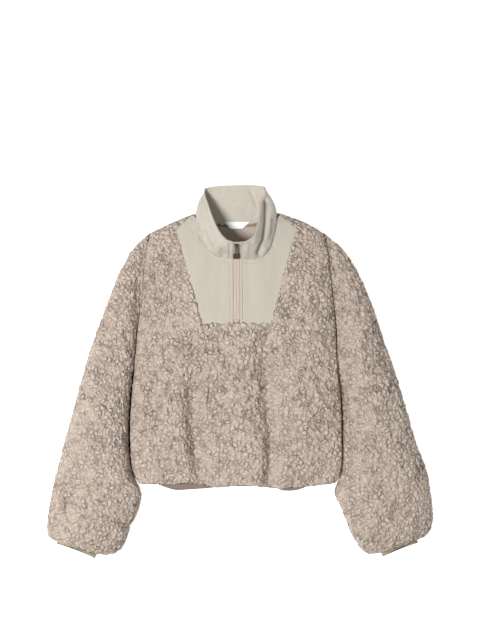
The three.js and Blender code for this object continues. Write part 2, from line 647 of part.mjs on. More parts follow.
function collar() {
  const places = evenSteps(COLLAR_STEPS.round);
  const heights = evenSteps(COLLAR_STEPS.up);
  const wallPoint = (at, up, shift) => collarPoint(at, up).addScaledVector(collarOut(at, up), shift);
  const outer = grid(heights, places, (at, up) => wallPoint(at, up, COLLAR_WALL / 2));
  const inner = grid(heights, places, (at, up) => wallPoint(at, up, -COLLAR_WALL / 2));
  return solidBetween(outer, inner, false);
}

// Neck seam of the yoke from the zip to the shoulder, then its shoulder edge outwards
function yokeTop(u) {
  const seam = COLLAR.filter((row) => row.at >= COLLAR_SHOULDER_AT).map((row) => ({ x: row.fx, y: row.fy }));
  const path = [...YOKE_SHOULDER, ...seam].reverse().map((p) => new THREE.Vector2(p.x, p.y));
  const lengths = [0];
  for (let i = 1; i < path.length; i += 1) {
    lengths.push(lengths[i - 1] + path[i].distanceTo(path[i - 1]));
  }
  const rows = path.map((p, i) => ({ at: lengths[i] / lengths.at(-1), x: p.x, y: p.y }));
  return new THREE.Vector2(follow(rows, 'at', 'x', u), follow(rows, 'at', 'y', u));
}

// Point of one half of the yoke: u from the zip outwards, v from its bottom to its top
function yokePlan(u, v, side) {
  const zipTop = yokeTop(0);
  const foot = new THREE.Vector2(ZIP_HALF, YOKE_BOTTOM_Y);
  const corner = new THREE.Vector2(YOKE_BOTTOM_HALF, YOKE_BOTTOM_Y);
  const tip = new THREE.Vector2(YOKE_TOP_HALF, YOKE_TOP_Y);
  const zip = new THREE.Vector2(ZIP_HALF, lerp(YOKE_BOTTOM_Y, zipTop.y, v));
  const bottom = foot.clone().lerp(corner, u);
  const sides = zip.lerp(corner.lerp(tip, v), u);
  const ends = bottom.clone().lerp(yokeTop(u), v);
  const straight = bottom.lerp(zipTop.lerp(tip, u), v);
  const plan = sides.add(ends).sub(straight);
  return new THREE.Vector2(plan.x * side, plan.y);
}

function yokeHeight(x, y) {
  return frontHeight(x, y) - YOKE_DROP;
}

function yoke(side) {
  const places = evenSteps(YOKE_STEPS.across);
  const heights = evenSteps(YOKE_STEPS.along);
  const pointAt = (u, v, depth) => {
    const plan = yokePlan(u, v, side);
    return new THREE.Vector3(plan.x, plan.y, yokeHeight(plan.x, plan.y) - depth);
  };
  const outer = grid(heights, places, (u, v) => pointAt(u, v, 0));
  const inner = grid(heights, places, (u, v) => pointAt(u, v, WOVEN_WALL));
  return solidBetween(outer, inner, false);
}

// Line of the zip's face: up the middle of the yoke and then up the collar's front
function zipLine(way) {
  const seamY = COLLAR[0].fy;
  const foot = new THREE.Vector3(0, seamY, COLLAR[0].fz + COLLAR_LIFT);
  const rim = new THREE.Vector3(0, COLLAR[0].ry, COLLAR[0].rz);
  const split = (seamY - YOKE_BOTTOM_Y) / (seamY - YOKE_BOTTOM_Y + foot.distanceTo(rim));
  if (way <= split) {
    const y = lerp(YOKE_BOTTOM_Y, seamY - SEAM_BEND, way / split);
    return new THREE.Vector3(0, y, yokeHeight(0, y) - TAPE_SINK);
  }
  return foot.lerp(rim, (way - split) / (1 - split)).add(new THREE.Vector3(0, 0, -TAPE_SINK));
}

function zipTape(side) {
  const ways = evenSteps(TAPE_STEPS);
  const edges = [SEAM_GAP / 2, ZIP_HALF - SEAM_GAP];
  const faceOut = (way) => {
    const step = zipLine(Math.min(way + 2 * SLOPE_STEP, 1)).sub(zipLine(Math.max(way - 2 * SLOPE_STEP, 0)));
    return new THREE.Vector3(0, -step.z, step.y).normalize();
  };
  const pointAt = (x, way, depth) => {
    const p = zipLine(way).addScaledVector(faceOut(way), -depth);
    return new THREE.Vector3(side * x, p.y, p.z);
  };
  const outer = grid(ways, edges, (x, way) => pointAt(x, way, 0));
  const inner = grid(ways, edges, (x, way) => pointAt(x, way, TAPE_WALL));
  return solidBetween(outer, inner, false);
}

// Frame on the slope of the collar's front: x across, y up the slope, z out of it
function slopeFrame() {
  const foot = new THREE.Vector3(0, COLLAR[0].fy, COLLAR[0].fz + COLLAR_LIFT);
  const rim = new THREE.Vector3(0, COLLAR[0].ry, COLLAR[0].rz);
  const up = rim.clone().sub(foot).normalize();
  const across = new THREE.Vector3(1, 0, 0);
  const out = across.clone().cross(up);
  const origin = rim.addScaledVector(up, -SLIDER.topGap);
  return new THREE.Matrix4().makeBasis(across, up, out).setPosition(origin);
}

function outlinePlate(points, thick) {
  const shape = new THREE.Shape(points.map(([x, y]) => new THREE.Vector2(x, y)));
  return new THREE.ExtrudeGeometry(shape, { depth: thick, bevelEnabled: false });
}

// Slider body with its bridge, as one solid lying on the tape
function zipSlider() {
  const half = SLIDER.width / 2;
  const nose = SLIDER.noseWidth / 2;
  const body = outlinePlate([
    [-nose, -SLIDER.length], [nose, -SLIDER.length], [half, -SLIDER.shoulder],
    [half, 0], [-half, 0], [-half, -SLIDER.shoulder],
  ], SLIDER.height);
  body.translate(0, 0, SEAM_GAP);
  const reach = BRIDGE.length / 2;
  const inside = reach - BRIDGE.bar;
  const hole = BRIDGE.height - BRIDGE.bar;
  const bridge = outlinePlate([
    [-reach, 0], [-inside, 0], [-inside, hole], [inside, hole],
    [inside, 0], [reach, 0], [reach, BRIDGE.height], [-reach, BRIDGE.height],
  ], BRIDGE.width);
  bridge.translate(0, 0, -BRIDGE.width / 2);
  bridge.rotateY(Math.PI / 2);
  bridge.rotateX(Math.PI / 2);
  bridge.translate(0, -SLIDER.length / 2, SEAM_GAP + SLIDER.height - WELD);
  const joined = fromManifold(toManifold(body).add(toManifold(bridge)));
  return joined.applyMatrix4(slopeFrame());
}

// Height of the pull's crossbar, in the middle of the bridge's hole
const pullHeight = SEAM_GAP + SLIDER.height - WELD + (BRIDGE.height - BRIDGE.bar) / 2;

// Pull tab: crossbar through the bridge, two arms, a plate and its moulded tip
function zipPull() {
  const half = PULL.width / 2;
  const arm = BRIDGE.width / 2 + PULL.armGap;
  const eyeBottom = -(BRIDGE.length / 2 + PULL.eyeGap);
  const tipTop = PULL_TIP.length - PULL.length;
  const corners = (w, top, bottom) => [[-w, bottom], [w, bottom], [w, top], [-w, top]]
    .map(([x, y]) => new THREE.Vector2(x, y));
  const frame = new THREE.Shape(corners(half, PULL.bar, tipTop));
  frame.holes.push(new THREE.Path(corners(arm, -PULL.bar, eyeBottom)));
  const plate = new THREE.ExtrudeGeometry(frame, { depth: PULL.thick, bevelEnabled: false });
  plate.translate(0, 0, -PULL.thick / 2);
  const { corner, shoulder } = PULL_TIP;
  const wide = PULL_TIP.width / 2;
  const end = -PULL.length;
  const tip = outlinePlate([
    [-half, tipTop + shoulder], [-wide, tipTop - shoulder], [-wide, end + corner], [corner - wide, end],
    [wide - corner, end], [wide, end + corner], [wide, tipTop - shoulder], [half, tipTop + shoulder],
  ], PULL_TIP.thick);
  tip.translate(0, 0, -PULL_TIP.thick / 2);
  const joined = fromManifold(toManifold(plate).add(toManifold(tip)));
  joined.rotateX(PULL_TILT);
  joined.translate(0, -SLIDER.length / 2, pullHeight);
  return joined.applyMatrix4(slopeFrame());
}

// Woven label at the back neck, lying over the neck seam
function neckLabel() {
  const plate = outlinePlate([
    [LABEL.bottomLeft, LABEL.bottomY], [LABEL.bottomRight, LABEL.bottomY],
    [LABEL.topRight, LABEL.topY], [LABEL.topLeft, LABEL.topY],
  ], TRIM_WALL);
  plate.translate(0, 0, LABEL.z);
  return plate;
}

// Facing inside the back neck, on the smooth side of the back
function neckFacing() {
  const { half, corner, topY, bottomY } = NECK_FACING;
  const plate = outlinePlate([
    [-half + corner, bottomY], [half - corner, bottomY], [half, bottomY + corner],
    [half, topY], [-half, topY], [-half, bottomY + corner],
  ], TRIM_WALL);
  plate.translate(0, 0, PILE_WALL + SEAM_GAP);
  return plate;
}

// Facing along the inside of the back hem
function hemFacing() {
  const across = evenSteps(HEM_FACING_STEPS);
  const pointAt = (u, v, depth) => {
    const x = lerp(-HEM_FACING.half, HEM_FACING.half, u);
    const y = follow(HEM, 'x', 'y', x) - backHemDrop(x) + HEM_FACING.fromHem + v * HEM_FACING.depth;
    return new THREE.Vector3(x, y, PILE_WALL + SEAM_GAP + depth);
  };
  const outer = grid([0, 1], across, (u, v) => pointAt(u, v, TRIM_WALL));
  const inner = grid([0, 1], across, (u, v) => pointAt(u, v, 0));
  return solidBetween(outer, inner, false);
}

const PIECES = [
  ['front_body', frontBody(), FINISHES.fleece],
  ['back_body', backBody(), FINISHES.fleece],
  ['sleeve_left', sleeve('left'), FINISHES.fleece],
  ['sleeve_right', sleeve('right'), FINISHES.fleece],
  ['cuff_left', cuff('left'), FINISHES.binding],
  ['cuff_right', cuff('right'), FINISHES.binding],
  ['yoke_left', yoke(-1), FINISHES.woven],
  ['yoke_right', yoke(1), FINISHES.woven],
  ['collar', collar(), FINISHES.woven],
  ['zip_tape_left', zipTape(-1), FINISHES.tape],
  ['zip_tape_right', zipTape(1), FINISHES.tape],
  ['zip_slider', zipSlider(), FINISHES.metal],
  ['zip_pull', zipPull(), FINISHES.tip],
  ['neck_label', neckLabel(), FINISHES.label],
  ['back_neck_facing', neckFacing(), FINISHES.facing],
  ['back_hem_facing', hemFacing(), FINISHES.facing],
];

const group = new THREE.Group();
for (const [name, geometry, finish] of PIECES) {
  const piece = new THREE.Mesh(geometry, new THREE.MeshStandardMaterial(finish));
  piece.name = name;
  group.add(piece);
}

export default group;
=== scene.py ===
import math

import bmesh
import bpy
import numpy as np
from mathutils import Matrix, Vector


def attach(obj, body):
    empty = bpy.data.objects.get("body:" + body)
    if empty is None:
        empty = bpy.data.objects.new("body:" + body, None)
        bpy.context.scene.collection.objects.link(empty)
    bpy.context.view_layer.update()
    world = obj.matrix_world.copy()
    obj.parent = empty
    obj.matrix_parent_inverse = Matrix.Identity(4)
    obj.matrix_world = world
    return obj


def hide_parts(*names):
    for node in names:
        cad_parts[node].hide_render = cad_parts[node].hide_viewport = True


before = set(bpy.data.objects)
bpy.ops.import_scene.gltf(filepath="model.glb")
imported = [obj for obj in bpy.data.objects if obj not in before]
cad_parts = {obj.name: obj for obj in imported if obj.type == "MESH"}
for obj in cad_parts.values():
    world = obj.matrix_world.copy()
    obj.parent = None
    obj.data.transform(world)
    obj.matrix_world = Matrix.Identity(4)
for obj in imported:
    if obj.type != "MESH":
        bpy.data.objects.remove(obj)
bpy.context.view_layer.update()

mm = 0.001  # sizes below are in millimetres, meshes in metres
garment = "garment"
pullTab = "pull_tab"

# Tables and curves shared by the pieces, in the same sizes as the cut of the garment


def table(columns, rows):
    return {name: np.array([row[i] for row in rows], float) for i, name in enumerate(columns.split())}


leftEdge = table("y x rise", [
    (-269, -195, 20), (-248, -206, 21), (-180, -213, 22), (-100, -211, 22), (-20, -203, 22),
    (50, -197, 25), (110, -188, 29), (160, -185, 32), (200, -180, 29), (234, -173, 18),
])
rightEdge = table("y x rise", [
    (-269, 197, 20), (-248, 208, 21), (-180, 211, 22), (-100, 209, 22), (-20, 202, 22),
    (60, 198, 25), (136, 190, 30), (176, 186, 31), (206, 181, 27), (234, 174, 18),
])
hemLine = table("x y", [
    (-195, -268), (-150, -269), (-92, -268), (-37, -275), (12, -270),
    (73, -277), (130, -274), (165, -271), (197, -268),
])
backHem = table("x drop", [
    (-195, 0), (-163, 0), (-143, 7), (-124, 13), (-98, 13), (-70, 8), (-45, 2), (-20, 0),
    (12, 4), (45, 1), (75, 0), (95, 6), (120, 7), (148, 0), (197, 0),
])
shoulderLine = table("x y", [
    (-173, 234), (-150, 246), (-119, 260), (-82, 274), (0, 284),
    (82, 275), (129, 259), (152, 248), (174, 234),
])
crown = table("y z", [
    (-280, 32), (-200, 38), (-100, 42), (0, 44), (110, 47), (177, 50), (210, 47), (243, 40), (290, 33),
])
frontFolds = [
    table("y x depth width", [
        (-290, -66, 15, 14), (-206, -78, 20, 14), (-140, -87, 20, 14), (-74, -86, 14, 15),
        (-14, -82, 7, 17), (50, -80, 0, 20), (290, -80, 0, 20),
    ]),
    table("y x depth width", [
        (-290, 62, 14, 13), (-194, 72, 18, 13), (-126, 66, 16, 13), (-54, 58, 13, 14),
        (14, 54, 8, 15), (58, 52, 1, 16), (290, 52, 0, 16),
    ]),
    table("y x depth width", [
        (-290, -130, 0, 24), (0, -128, 0, 26), (94, -119, 5, 26), (180, -135, 3, 24), (290, -140, 0, 24),
    ]),
    table("y x depth width", [
        (-290, 140, 0, 30), (-160, 132, -4, 30), (40, 130, -3, 30), (290, 130, 0, 30),
    ]),
]
sleeveRows = {
    "left": table("at ix iy ox oy crown edge shelf", [
        (0.0, -203, -20, -173, 234, 30, 22, 0), (0.06, -205, -36, -203, 210, 40, 20, 0),
        (0.15, -208, -62, -234, 158, 47, 18, 0), (0.28, -212.5, -104, -264, 84, 53, 17, 0),
        (0.4, -215, -150, -289, 16, 58, 17, 0), (0.5, -214.5, -192, -310, -52, 61, 17, 0),
        (0.6, -208, -246, -331, -130, 63, 17, 0), (0.68, -190, -282, -350, -200, 64, 17, 0),
        (0.76, -194, -318, -367, -268, 66, 17, 0), (0.84, -211, -354, -378, -325, 65, 17, 0),
        (0.92, -228, -396, -380, -364, 56, 16, 0), (0.97, -252, -411, -371, -379, 42, 14, 0),
        (1.0, -281, -410, -358, -381, 26, 13, 0),
    ]),
    "right": table("at ix iy ox oy crown edge shelf", [
        (0.0, 202, -20, 174, 234, 30, 22, 0), (0.06, 203.5, -34, 208, 208, 40, 20, 0.01),
        (0.15, 207, -64, 242.5, 159, 46, 18, 0.05), (0.28, 210.5, -106, 272, 91, 52, 17, 0.1),
        (0.4, 212.5, -152, 296, 21, 56, 17, 0.12), (0.5, 212.5, -194, 319, -45, 59, 17, 0.12),
        (0.6, 209.5, -246, 342, -121, 61, 17, 0.1), (0.68, 196, -281, 360, -183, 62, 17, 0.04),
        (0.76, 202, -304, 382, -243, 64, 17, 0), (0.84, 216, -338, 392, -304, 63, 17, 0),
        (0.92, 234, -379, 392, -352, 54, 16, 0), (0.97, 262, -409, 379, -373, 40, 14, 0),
        (1.0, 290, -407, 361, -379, 26, 13, 0),
    ]),
}
sleeveDents = {
    "left": [(0.74, 0.72, 0.03, 0.16, 6), (0.87, 0.4, 0.025, 0.2, 5)],
    "right": [(0.56, 0.82, 0.03, 0.1, 7), (0.74, 0.3, 0.025, 0.18, 6), (0.85, 0.55, 0.025, 0.2, 6)],
}
collarRows = table("at fx fy fz rx ry rz bulge", [
    (0.0, -6.6, 183, 46, -6.6, 212, 86, 0), (0.08, -24, 184, 46, -20, 218, 84, 2),
    (0.17, -45, 190, 45, -34, 235, 78, 5), (0.26, -65, 211, 43, -46, 261, 66, 7),
    (0.34, -77, 239, 37, -56, 290, 48, 8), (0.39, -78.5, 258, 33, -63, 313, 30, 7),
    (0.43, -70, 262, 14, -58, 325, 16, 2), (0.5, 0, 248, 10, 0, 330, 13, 0),
    (0.57, 68, 262, 14, 52, 327, 17, 2), (0.61, 78, 258, 33, 57, 315, 31, 8),
    (0.66, 77, 239, 37, 51, 288, 50, 9), (0.74, 66, 203, 44, 42, 254, 69, 8),
    (0.83, 46, 184, 46, 35, 229, 81, 5), (0.92, 24, 181, 46, 21, 215, 85, 2),
    (1.0, 6.6, 183, 46, 6.6, 212, 86, 0),
])
yokeShoulder = [(121, 240), (106, 254), (96, 262), (87, 269)]

body = {
    "hemY": -269, "armTopY": 234, "underarmY": -20, "halfWidth": 210,
    "sideRoll": 26, "shoulderRoll": 24, "backRoll": 22, "shoulderHeight": 18,
    "crownFall": 7, "curlReach": 50, "seamGap": 0.3, "yokeDrop": 3.0, "yokeBottomY": 52,
    "yokeBottomHalf": 69, "yokeTopHalf": 121, "yokeTopY": 240, "zipHalf": 6.5,
}
wall = {"pile": 8.0, "woven": 2.0, "collar": 2.4, "tape": 1.2, "trim": 0.7, "cuff": 2.0}
lens = {"x": 7, "y": 60, "height": 3200, "span": 640}  # where the camera stands and how much it shows


def follow(rows, key, column, place):
    x, y = rows[key], rows[column]
    slope = np.diff(y) / np.diff(x)
    tangent = np.concatenate([slope[:1], (slope[:-1] + slope[1:]) / 2, slope[-1:]])
    p = np.clip(np.asarray(place, float), x[0], x[-1])
    i = np.clip(np.searchsorted(x, p) - 1, 0, len(x) - 2)
    span = x[i + 1] - x[i]
    t = (p - x[i]) / span
    start = (1 + 2 * t) * (1 - t) ** 2 * y[i] + t * (1 - t) ** 2 * span * tangent[i]
    return start + t * t * (3 - 2 * t) * y[i + 1] + t * t * (t - 1) * span * tangent[i + 1]


def lerp(a, b, t):
    return a + (b - a) * t


def rollOver(distance, roll):
    left = 1 - np.clip(distance / roll, 0, 1)
    return np.sqrt(1 - left * left)


def easeIn(distance, reach):
    t = np.clip(distance / reach, 0, 1)
    return t * t * (3 - 2 * t)


def rolledSteps(length, startRoll, endRoll, bends, middle):
    turn = np.arange(bends) / bends * math.pi / 2
    first = startRoll * (1 - np.cos(turn)) / length if startRoll else np.array([])
    last = 1 - endRoll * (1 - np.cos(turn[::-1])) / length if endRoll else np.array([])
    return np.concatenate([first, np.linspace(startRoll / length, 1 - endRoll / length, middle + 1), last])


def grid(across, along):
    return np.broadcast_arrays(across[None, :], along[:, None])


def change(curve, place, step):
    # from a little before a place on a curve to a little after it
    return curve(np.minimum(place + step, 1)) - curve(np.maximum(place - step, 0))


def nearestOn(x, y, start, end):
    # the point of a straight line that is nearest to each place
    (ax, ay), (bx, by) = start, end
    length = max((bx - ax) ** 2 + (by - ay) ** 2, 1e-6)
    t = np.clip(((x - ax) * (bx - ax) + (y - ay) * (by - ay)) / length, 0, 1)
    return ax + t * (bx - ax), ay + t * (by - ay)


def stack(x, y, z):
    return np.stack(np.broadcast_arrays(x, y, z), axis=-1).astype(float)


def unit(vectors):
    return vectors / np.maximum(np.linalg.norm(vectors, axis=-1, keepdims=True), 1e-9)


# Scattered cells and soft noise for pile and cloth, the same on every run


def cellRandom(cells, seed):
    h = (cells[..., 0] * 73856093) ^ (cells[..., 1] * 19349663) ^ (cells[..., 2] * 83492791)
    h = (h ^ (seed * 2654435)).astype(np.uint64)
    out = []
    for k in range(3):
        h = (h ^ (h >> np.uint64(15))) * np.uint64(2246822519) + np.uint64(374761393 * (k + 1))
        out.append(((h >> np.uint64(20)) & np.uint64(65535)).astype(float) / 65535)
    return np.stack(out, axis=-1)


def nearestCells(points, cell, seed):
    # distances to the nearest and the next scattered point, in cells, and a number of the nearest one
    p = points / cell
    home = np.floor(p).astype(np.int64)
    first = np.full(p.shape[:-1], 9.0)
    second = first.copy()
    own = np.zeros(p.shape[:-1])
    for dx in (-1, 0, 1):
        for dy in (-1, 0, 1):
            for dz in (-1, 0, 1):
                cells = home + np.array([dx, dy, dz])
                spot = cellRandom(cells, seed)
                far = np.linalg.norm(cells + spot - p, axis=-1)
                closer = far < first
                second = np.where(closer, first, np.minimum(second, far))
                own = np.where(closer, spot[..., 2], own)
                first = np.where(closer, far, first)
    return first, second, own


def softNoise(points, size, seed):
    p = points / size
    home = np.floor(p).astype(np.int64)
    t = p - home
    t = t * t * (3 - 2 * t)
    total = 0
    for corner in range(8):
        step = np.array([corner & 1, (corner >> 1) & 1, corner >> 2])
        weight = np.prod(np.where(step == 1, t, 1 - t), axis=-1)
        total = total + weight * cellRandom(home + step, seed)[..., 0]
    return total


fleece = {
    "curl": 9.5,         # size of the lumps of the pile
    "wander": 4.0,       # how far the lumps wander from even cells
    "crevice": 2.4,      # depth between lumps
    "dome": 1.9,         # how round a lump is
    "level": 1.2,        # some lumps stand a little lower
    "felted": 46,        # size of the patches where the pile lies flatter
    # the third colour is painted shade, for the crevices between curls and along the seams
    "tip": (216, 200, 187), "mid": (203, 186, 171), "paintedShadeColor": (112, 93, 79), "backing": (150, 132, 118),
}


def pile(points):
    s = fleece
    drift = np.stack([softNoise(points, 6, k) for k in (11, 12, 13)], axis=-1) - 0.5
    near, following, own = nearestCells(points + drift * 2 * s["wander"], s["curl"], 3)
    patches = np.clip(softNoise(points, s["felted"], 31) * 1.8 - 0.15, 0.5, 1)
    strength = (0.35 + 0.65 * np.clip(softNoise(points, 11, 21) * 2 - 0.45, 0, 1)) * patches
    crevice = np.exp(-(((following - near) / 0.2) ** 2)) * strength
    depth = s["crevice"] * crevice + s["dome"] * np.clip(near / 0.8, 0, 1) ** 2 * (0.4 + 0.6 * patches)
    # the second value is a painted shade mask: high in the crevices between curls, with a little random tone
    # per curl
    return depth + s["level"] * own, np.clip(crevice * 1.15 + 0.1 * own, 0, 1)


# Meshes: closed walls between two grids of points


def gridNormals(points, roundAcross=False):
    along = np.gradient(points, axis=0)
    if roundAcross:
        across = np.roll(points, -1, axis=1) - np.roll(points, 1, axis=1)
    else:
        across = np.gradient(points, axis=1)
    return unit(np.cross(across, along))


def link(name, data):
    thing = bpy.data.objects.new(name, data)
    bpy.context.scene.collection.objects.link(thing)
    return thing


def linkMesh(name, points, faces, smooth=True):
    mesh = bpy.data.meshes.new(name)
    mesh.from_pydata(np.asarray(points).tolist(), [], [list(face) for face in faces])
    mesh.polygons.foreach_set("use_smooth", np.full(len(mesh.polygons), smooth))
    return link(name, mesh)


def shell(name, outer, inner, keep=None, roundAcross=False, facts=None):
    # keep says which cells of the grid are cloth; facts are values given to the outer points
    rows, columns = outer.shape[:2]
    ids = np.arange(rows * columns).reshape(rows, columns)
    if roundAcross:
        ids = np.concatenate([ids, ids[:, :1]], axis=1)
    quads = np.stack([ids[:-1, :-1], ids[:-1, 1:], ids[1:, 1:], ids[1:, :-1]], axis=-1).reshape(-1, 4)
    if keep is not None:
        quads = quads[keep.reshape(-1)]
    total = rows * columns
    starts = quads.reshape(-1)
    ends = np.roll(quads, -1, axis=1).reshape(-1)
    rim = ~np.isin(starts * total + ends, ends * total + starts)
    a, b = starts[rim], ends[rim]
    faces = np.concatenate([quads, np.stack([b, a, a + total, b + total], axis=-1), quads[:, ::-1] + total])
    points = np.concatenate([outer.reshape(-1, 3), inner.reshape(-1, 3)]) * mm
    used, faces = np.unique(faces, return_inverse=True)
    faces = faces.reshape(-1, 4)
    points = points[used]
    p = points[faces]
    volume = (p[:, 0] * np.cross(p[:, 1], p[:, 2])).sum() + (p[:, 0] * np.cross(p[:, 2], p[:, 3])).sum()
    piece = linkMesh(name, points, faces if volume > 0 else faces[:, ::-1])
    slots = np.zeros(len(faces), int)
    slots[len(quads) + rim.sum():] = 1
    piece.data.polygons.foreach_set("material_index", slots)
    for fact, values in (facts or {}).items():
        both = np.concatenate([values.reshape(-1), np.zeros(total)])[used]
        piece.data.attributes.new(fact, "FLOAT", "POINT").data.foreach_set("value", both)
    return piece


def dress(piece, materials, nodes=(), rider=garment):
    for material in materials:
        piece.data.materials.append(material)
    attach(piece, rider)
    if nodes:
        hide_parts(*nodes)
    return piece


def outlineDistance(x, y, outline):
    # distance to a closed outline, minus inside it, and the nearest point on it
    best = np.full(x.shape, 1e9)
    nearX, nearY = x.copy(), y.copy()
    inside = np.zeros(x.shape, bool)
    for (ax, ay), (bx, by) in zip(outline, outline[1:] + outline[:1]):
        px, py = nearestOn(x, y, (ax, ay), (bx, by))
        far = np.hypot(x - px, y - py)
        closer = far < best
        best = np.where(closer, far, best)
        nearX, nearY = np.where(closer, px, nearX), np.where(closer, py, nearY)
        if ay != by:
            crosses = ((ay > y) != (by > y)) & (x < (bx - ax) * (y - ay) / (by - ay) + ax)
            inside ^= crosses
    return np.where(inside, -best, best), nearX, nearY


def cutGrid(x, y, outline, spacing):
    # snaps grid points near an outline onto it, and keeps the cells outside it
    away, nearX, nearY = outlineDistance(x, y, outline)
    snap = np.abs(away) < 0.6 * spacing
    away = np.where(snap, 0, away)
    corners = np.stack([away[:-1, :-1], away[:-1, 1:], away[1:, 1:], away[1:, :-1]])
    keep = (corners.min(axis=0) >= 0) & (corners.max(axis=0) > 0)
    return np.where(snap, nearX, x), np.where(snap, nearY, y), np.maximum(away, 0), keep


def creaseDepth(x, y, creases):
    # soft troughs along short lines, as seen from above; a minus depth is a ridge
    depth = np.zeros(x.shape)
    for line, width, deep in creases:
        far = np.full(x.shape, 1e9)
        for start, end in zip(line, line[1:]):
            px, py = nearestOn(x, y, start, end)
            far = np.minimum(far, np.hypot(x - px, y - py))
        depth = depth + deep * np.exp(-((far / width) ** 2))
    return depth


def seenFromAbove(points):
    # where a point stands in the picture, measured on the surface under the garment
    x, y, z = points[..., 0], points[..., 1], points[..., 2] / lens["height"]
    return x + (x - lens["x"]) * z, y + (y - lens["y"]) * z


def threadRow(name, path, length, gap, radius):
    # a row of stitches along a line of points, each a short rounded thread
    path = np.asarray(path, float)
    run = np.concatenate([[0], np.cumsum(np.linalg.norm(np.diff(path, axis=0), axis=1))])
    turn = np.arange(6) / 6 * 2 * math.pi
    points, faces = [], []
    for start in np.arange(gap / 2, run[-1] - length, length + gap):
        first = len(points)
        places = start + length * np.array([0, 0.12, 0.5, 0.88, 1])
        middle = np.stack([np.interp(places, run, path[:, k]) for k in range(3)], axis=-1)
        onwards = unit(middle[-1] - middle[0])
        side = unit(np.cross(onwards, (0, 0, 1)))
        over = np.cross(side, onwards)
        for point, size in zip(middle, (0.3, 0.8, 1, 0.8, 0.3)):
            centre = point + over * radius * (size - 1) * 0.8
            points += [(centre + radius * size * (math.cos(a) * side + math.sin(a) * over)) * mm
                       for a in turn]
        for ring in range(4):
            for k in range(6):
                a, b = first + ring * 6 + k, first + ring * 6 + (k + 1) % 6
                faces.append((a, b, b + 6, a + 6))
        faces.append(tuple(range(first + 5, first - 1, -1)))
        faces.append(tuple(range(first + 24, first + 30)))
    return linkMesh(name, points, faces)


# Materials


def linear(rgb):
    return tuple(((c / 255 + 0.055) / 1.055) ** 2.4 if c > 10 else c / 255 / 12.92 for c in rgb) + (1,)


class Recipe:
    # short way to lay out the nodes of a material

    def __init__(self, name):
        self.material = bpy.data.materials.new(name)
        self.material.use_nodes = True
        self.nodes = self.material.node_tree.nodes
        self.shader = self.nodes["Principled BSDF"]
        self.place = self.add("ShaderNodeTexCoord").outputs["Object"]

    def feed(self, node, inputs):
        # an input takes a number, a colour or the output of another node
        for key, value in inputs.items():
            if isinstance(value, bpy.types.NodeSocket):
                self.material.node_tree.links.new(value, node.inputs[key])
            else:
                node.inputs[key].default_value = value

    def add(self, kind, inputs=None, **settings):
        node = self.nodes.new(kind)
        for key, value in settings.items():
            setattr(node, key, value)
        self.feed(node, inputs or {})
        return node

    def stretch(self, *scale):
        return self.add("ShaderNodeMapping", {"Scale": scale, "Vector": self.place}).outputs["Vector"]

    def noise(self, scale, detail=2.0, rough=0.5, place=None):
        inputs = {"Scale": scale, "Detail": detail, "Roughness": rough, "Vector": place or self.place}
        return self.add("ShaderNodeTexNoise", inputs).outputs["Fac"]

    def wander(self, scale, amount):
        # places that drift from the true ones, so cells of a texture come out uneven
        drift = self.add("ShaderNodeTexNoise", {"Scale": scale, "Vector": self.place})
        inputs = {0: drift.outputs["Color"], 1: (amount * mm,) * 3, 2: self.place}
        return self.add("ShaderNodeVectorMath", inputs, operation="MULTIPLY_ADD").outputs["Vector"]

    def cells(self, scale, feature, place):
        inputs = {"Scale": scale, "Vector": place}
        return self.add("ShaderNodeTexVoronoi", inputs, feature=feature).outputs["Distance"]

    def waves(self, direction, pitch):
        inputs = {"Scale": 2 * math.pi / (20 * pitch * mm), "Distortion": 0.3, "Detail": 1.0,
                  "Vector": self.place}
        return self.add("ShaderNodeTexWave", inputs, bands_direction=direction).outputs["Fac"]

    def spread(self, value, low, high, toLow=0.0, toHigh=1.0):
        inputs = {"Value": value, "From Min": low, "From Max": high, "To Min": toLow, "To Max": toHigh}
        return self.add("ShaderNodeMapRange", inputs).outputs["Result"]

    def combine(self, a, b, how="ADD"):
        return self.add("ShaderNodeMath", {0: a, 1: b}, operation=how).outputs["Value"]

    def blend(self, factor, a, b):
        return self.add("ShaderNodeMix", {0: factor, 6: a, 7: b}, data_type="RGBA").outputs[2]

    def bump(self, height, distance, strength=1.0):
        inputs = {"Distance": distance * mm, "Strength": strength, "Height": height}
        self.feed(self.shader, {"Normal": self.add("ShaderNodeBump", inputs).outputs["Normal"]})

    def finish(self, color, roughness, **values):
        values = {"Base_Color": color, "Roughness": roughness, **values}
        self.feed(self.shader, {key.replace("_", " "): value for key, value in values.items()})
        return self.material


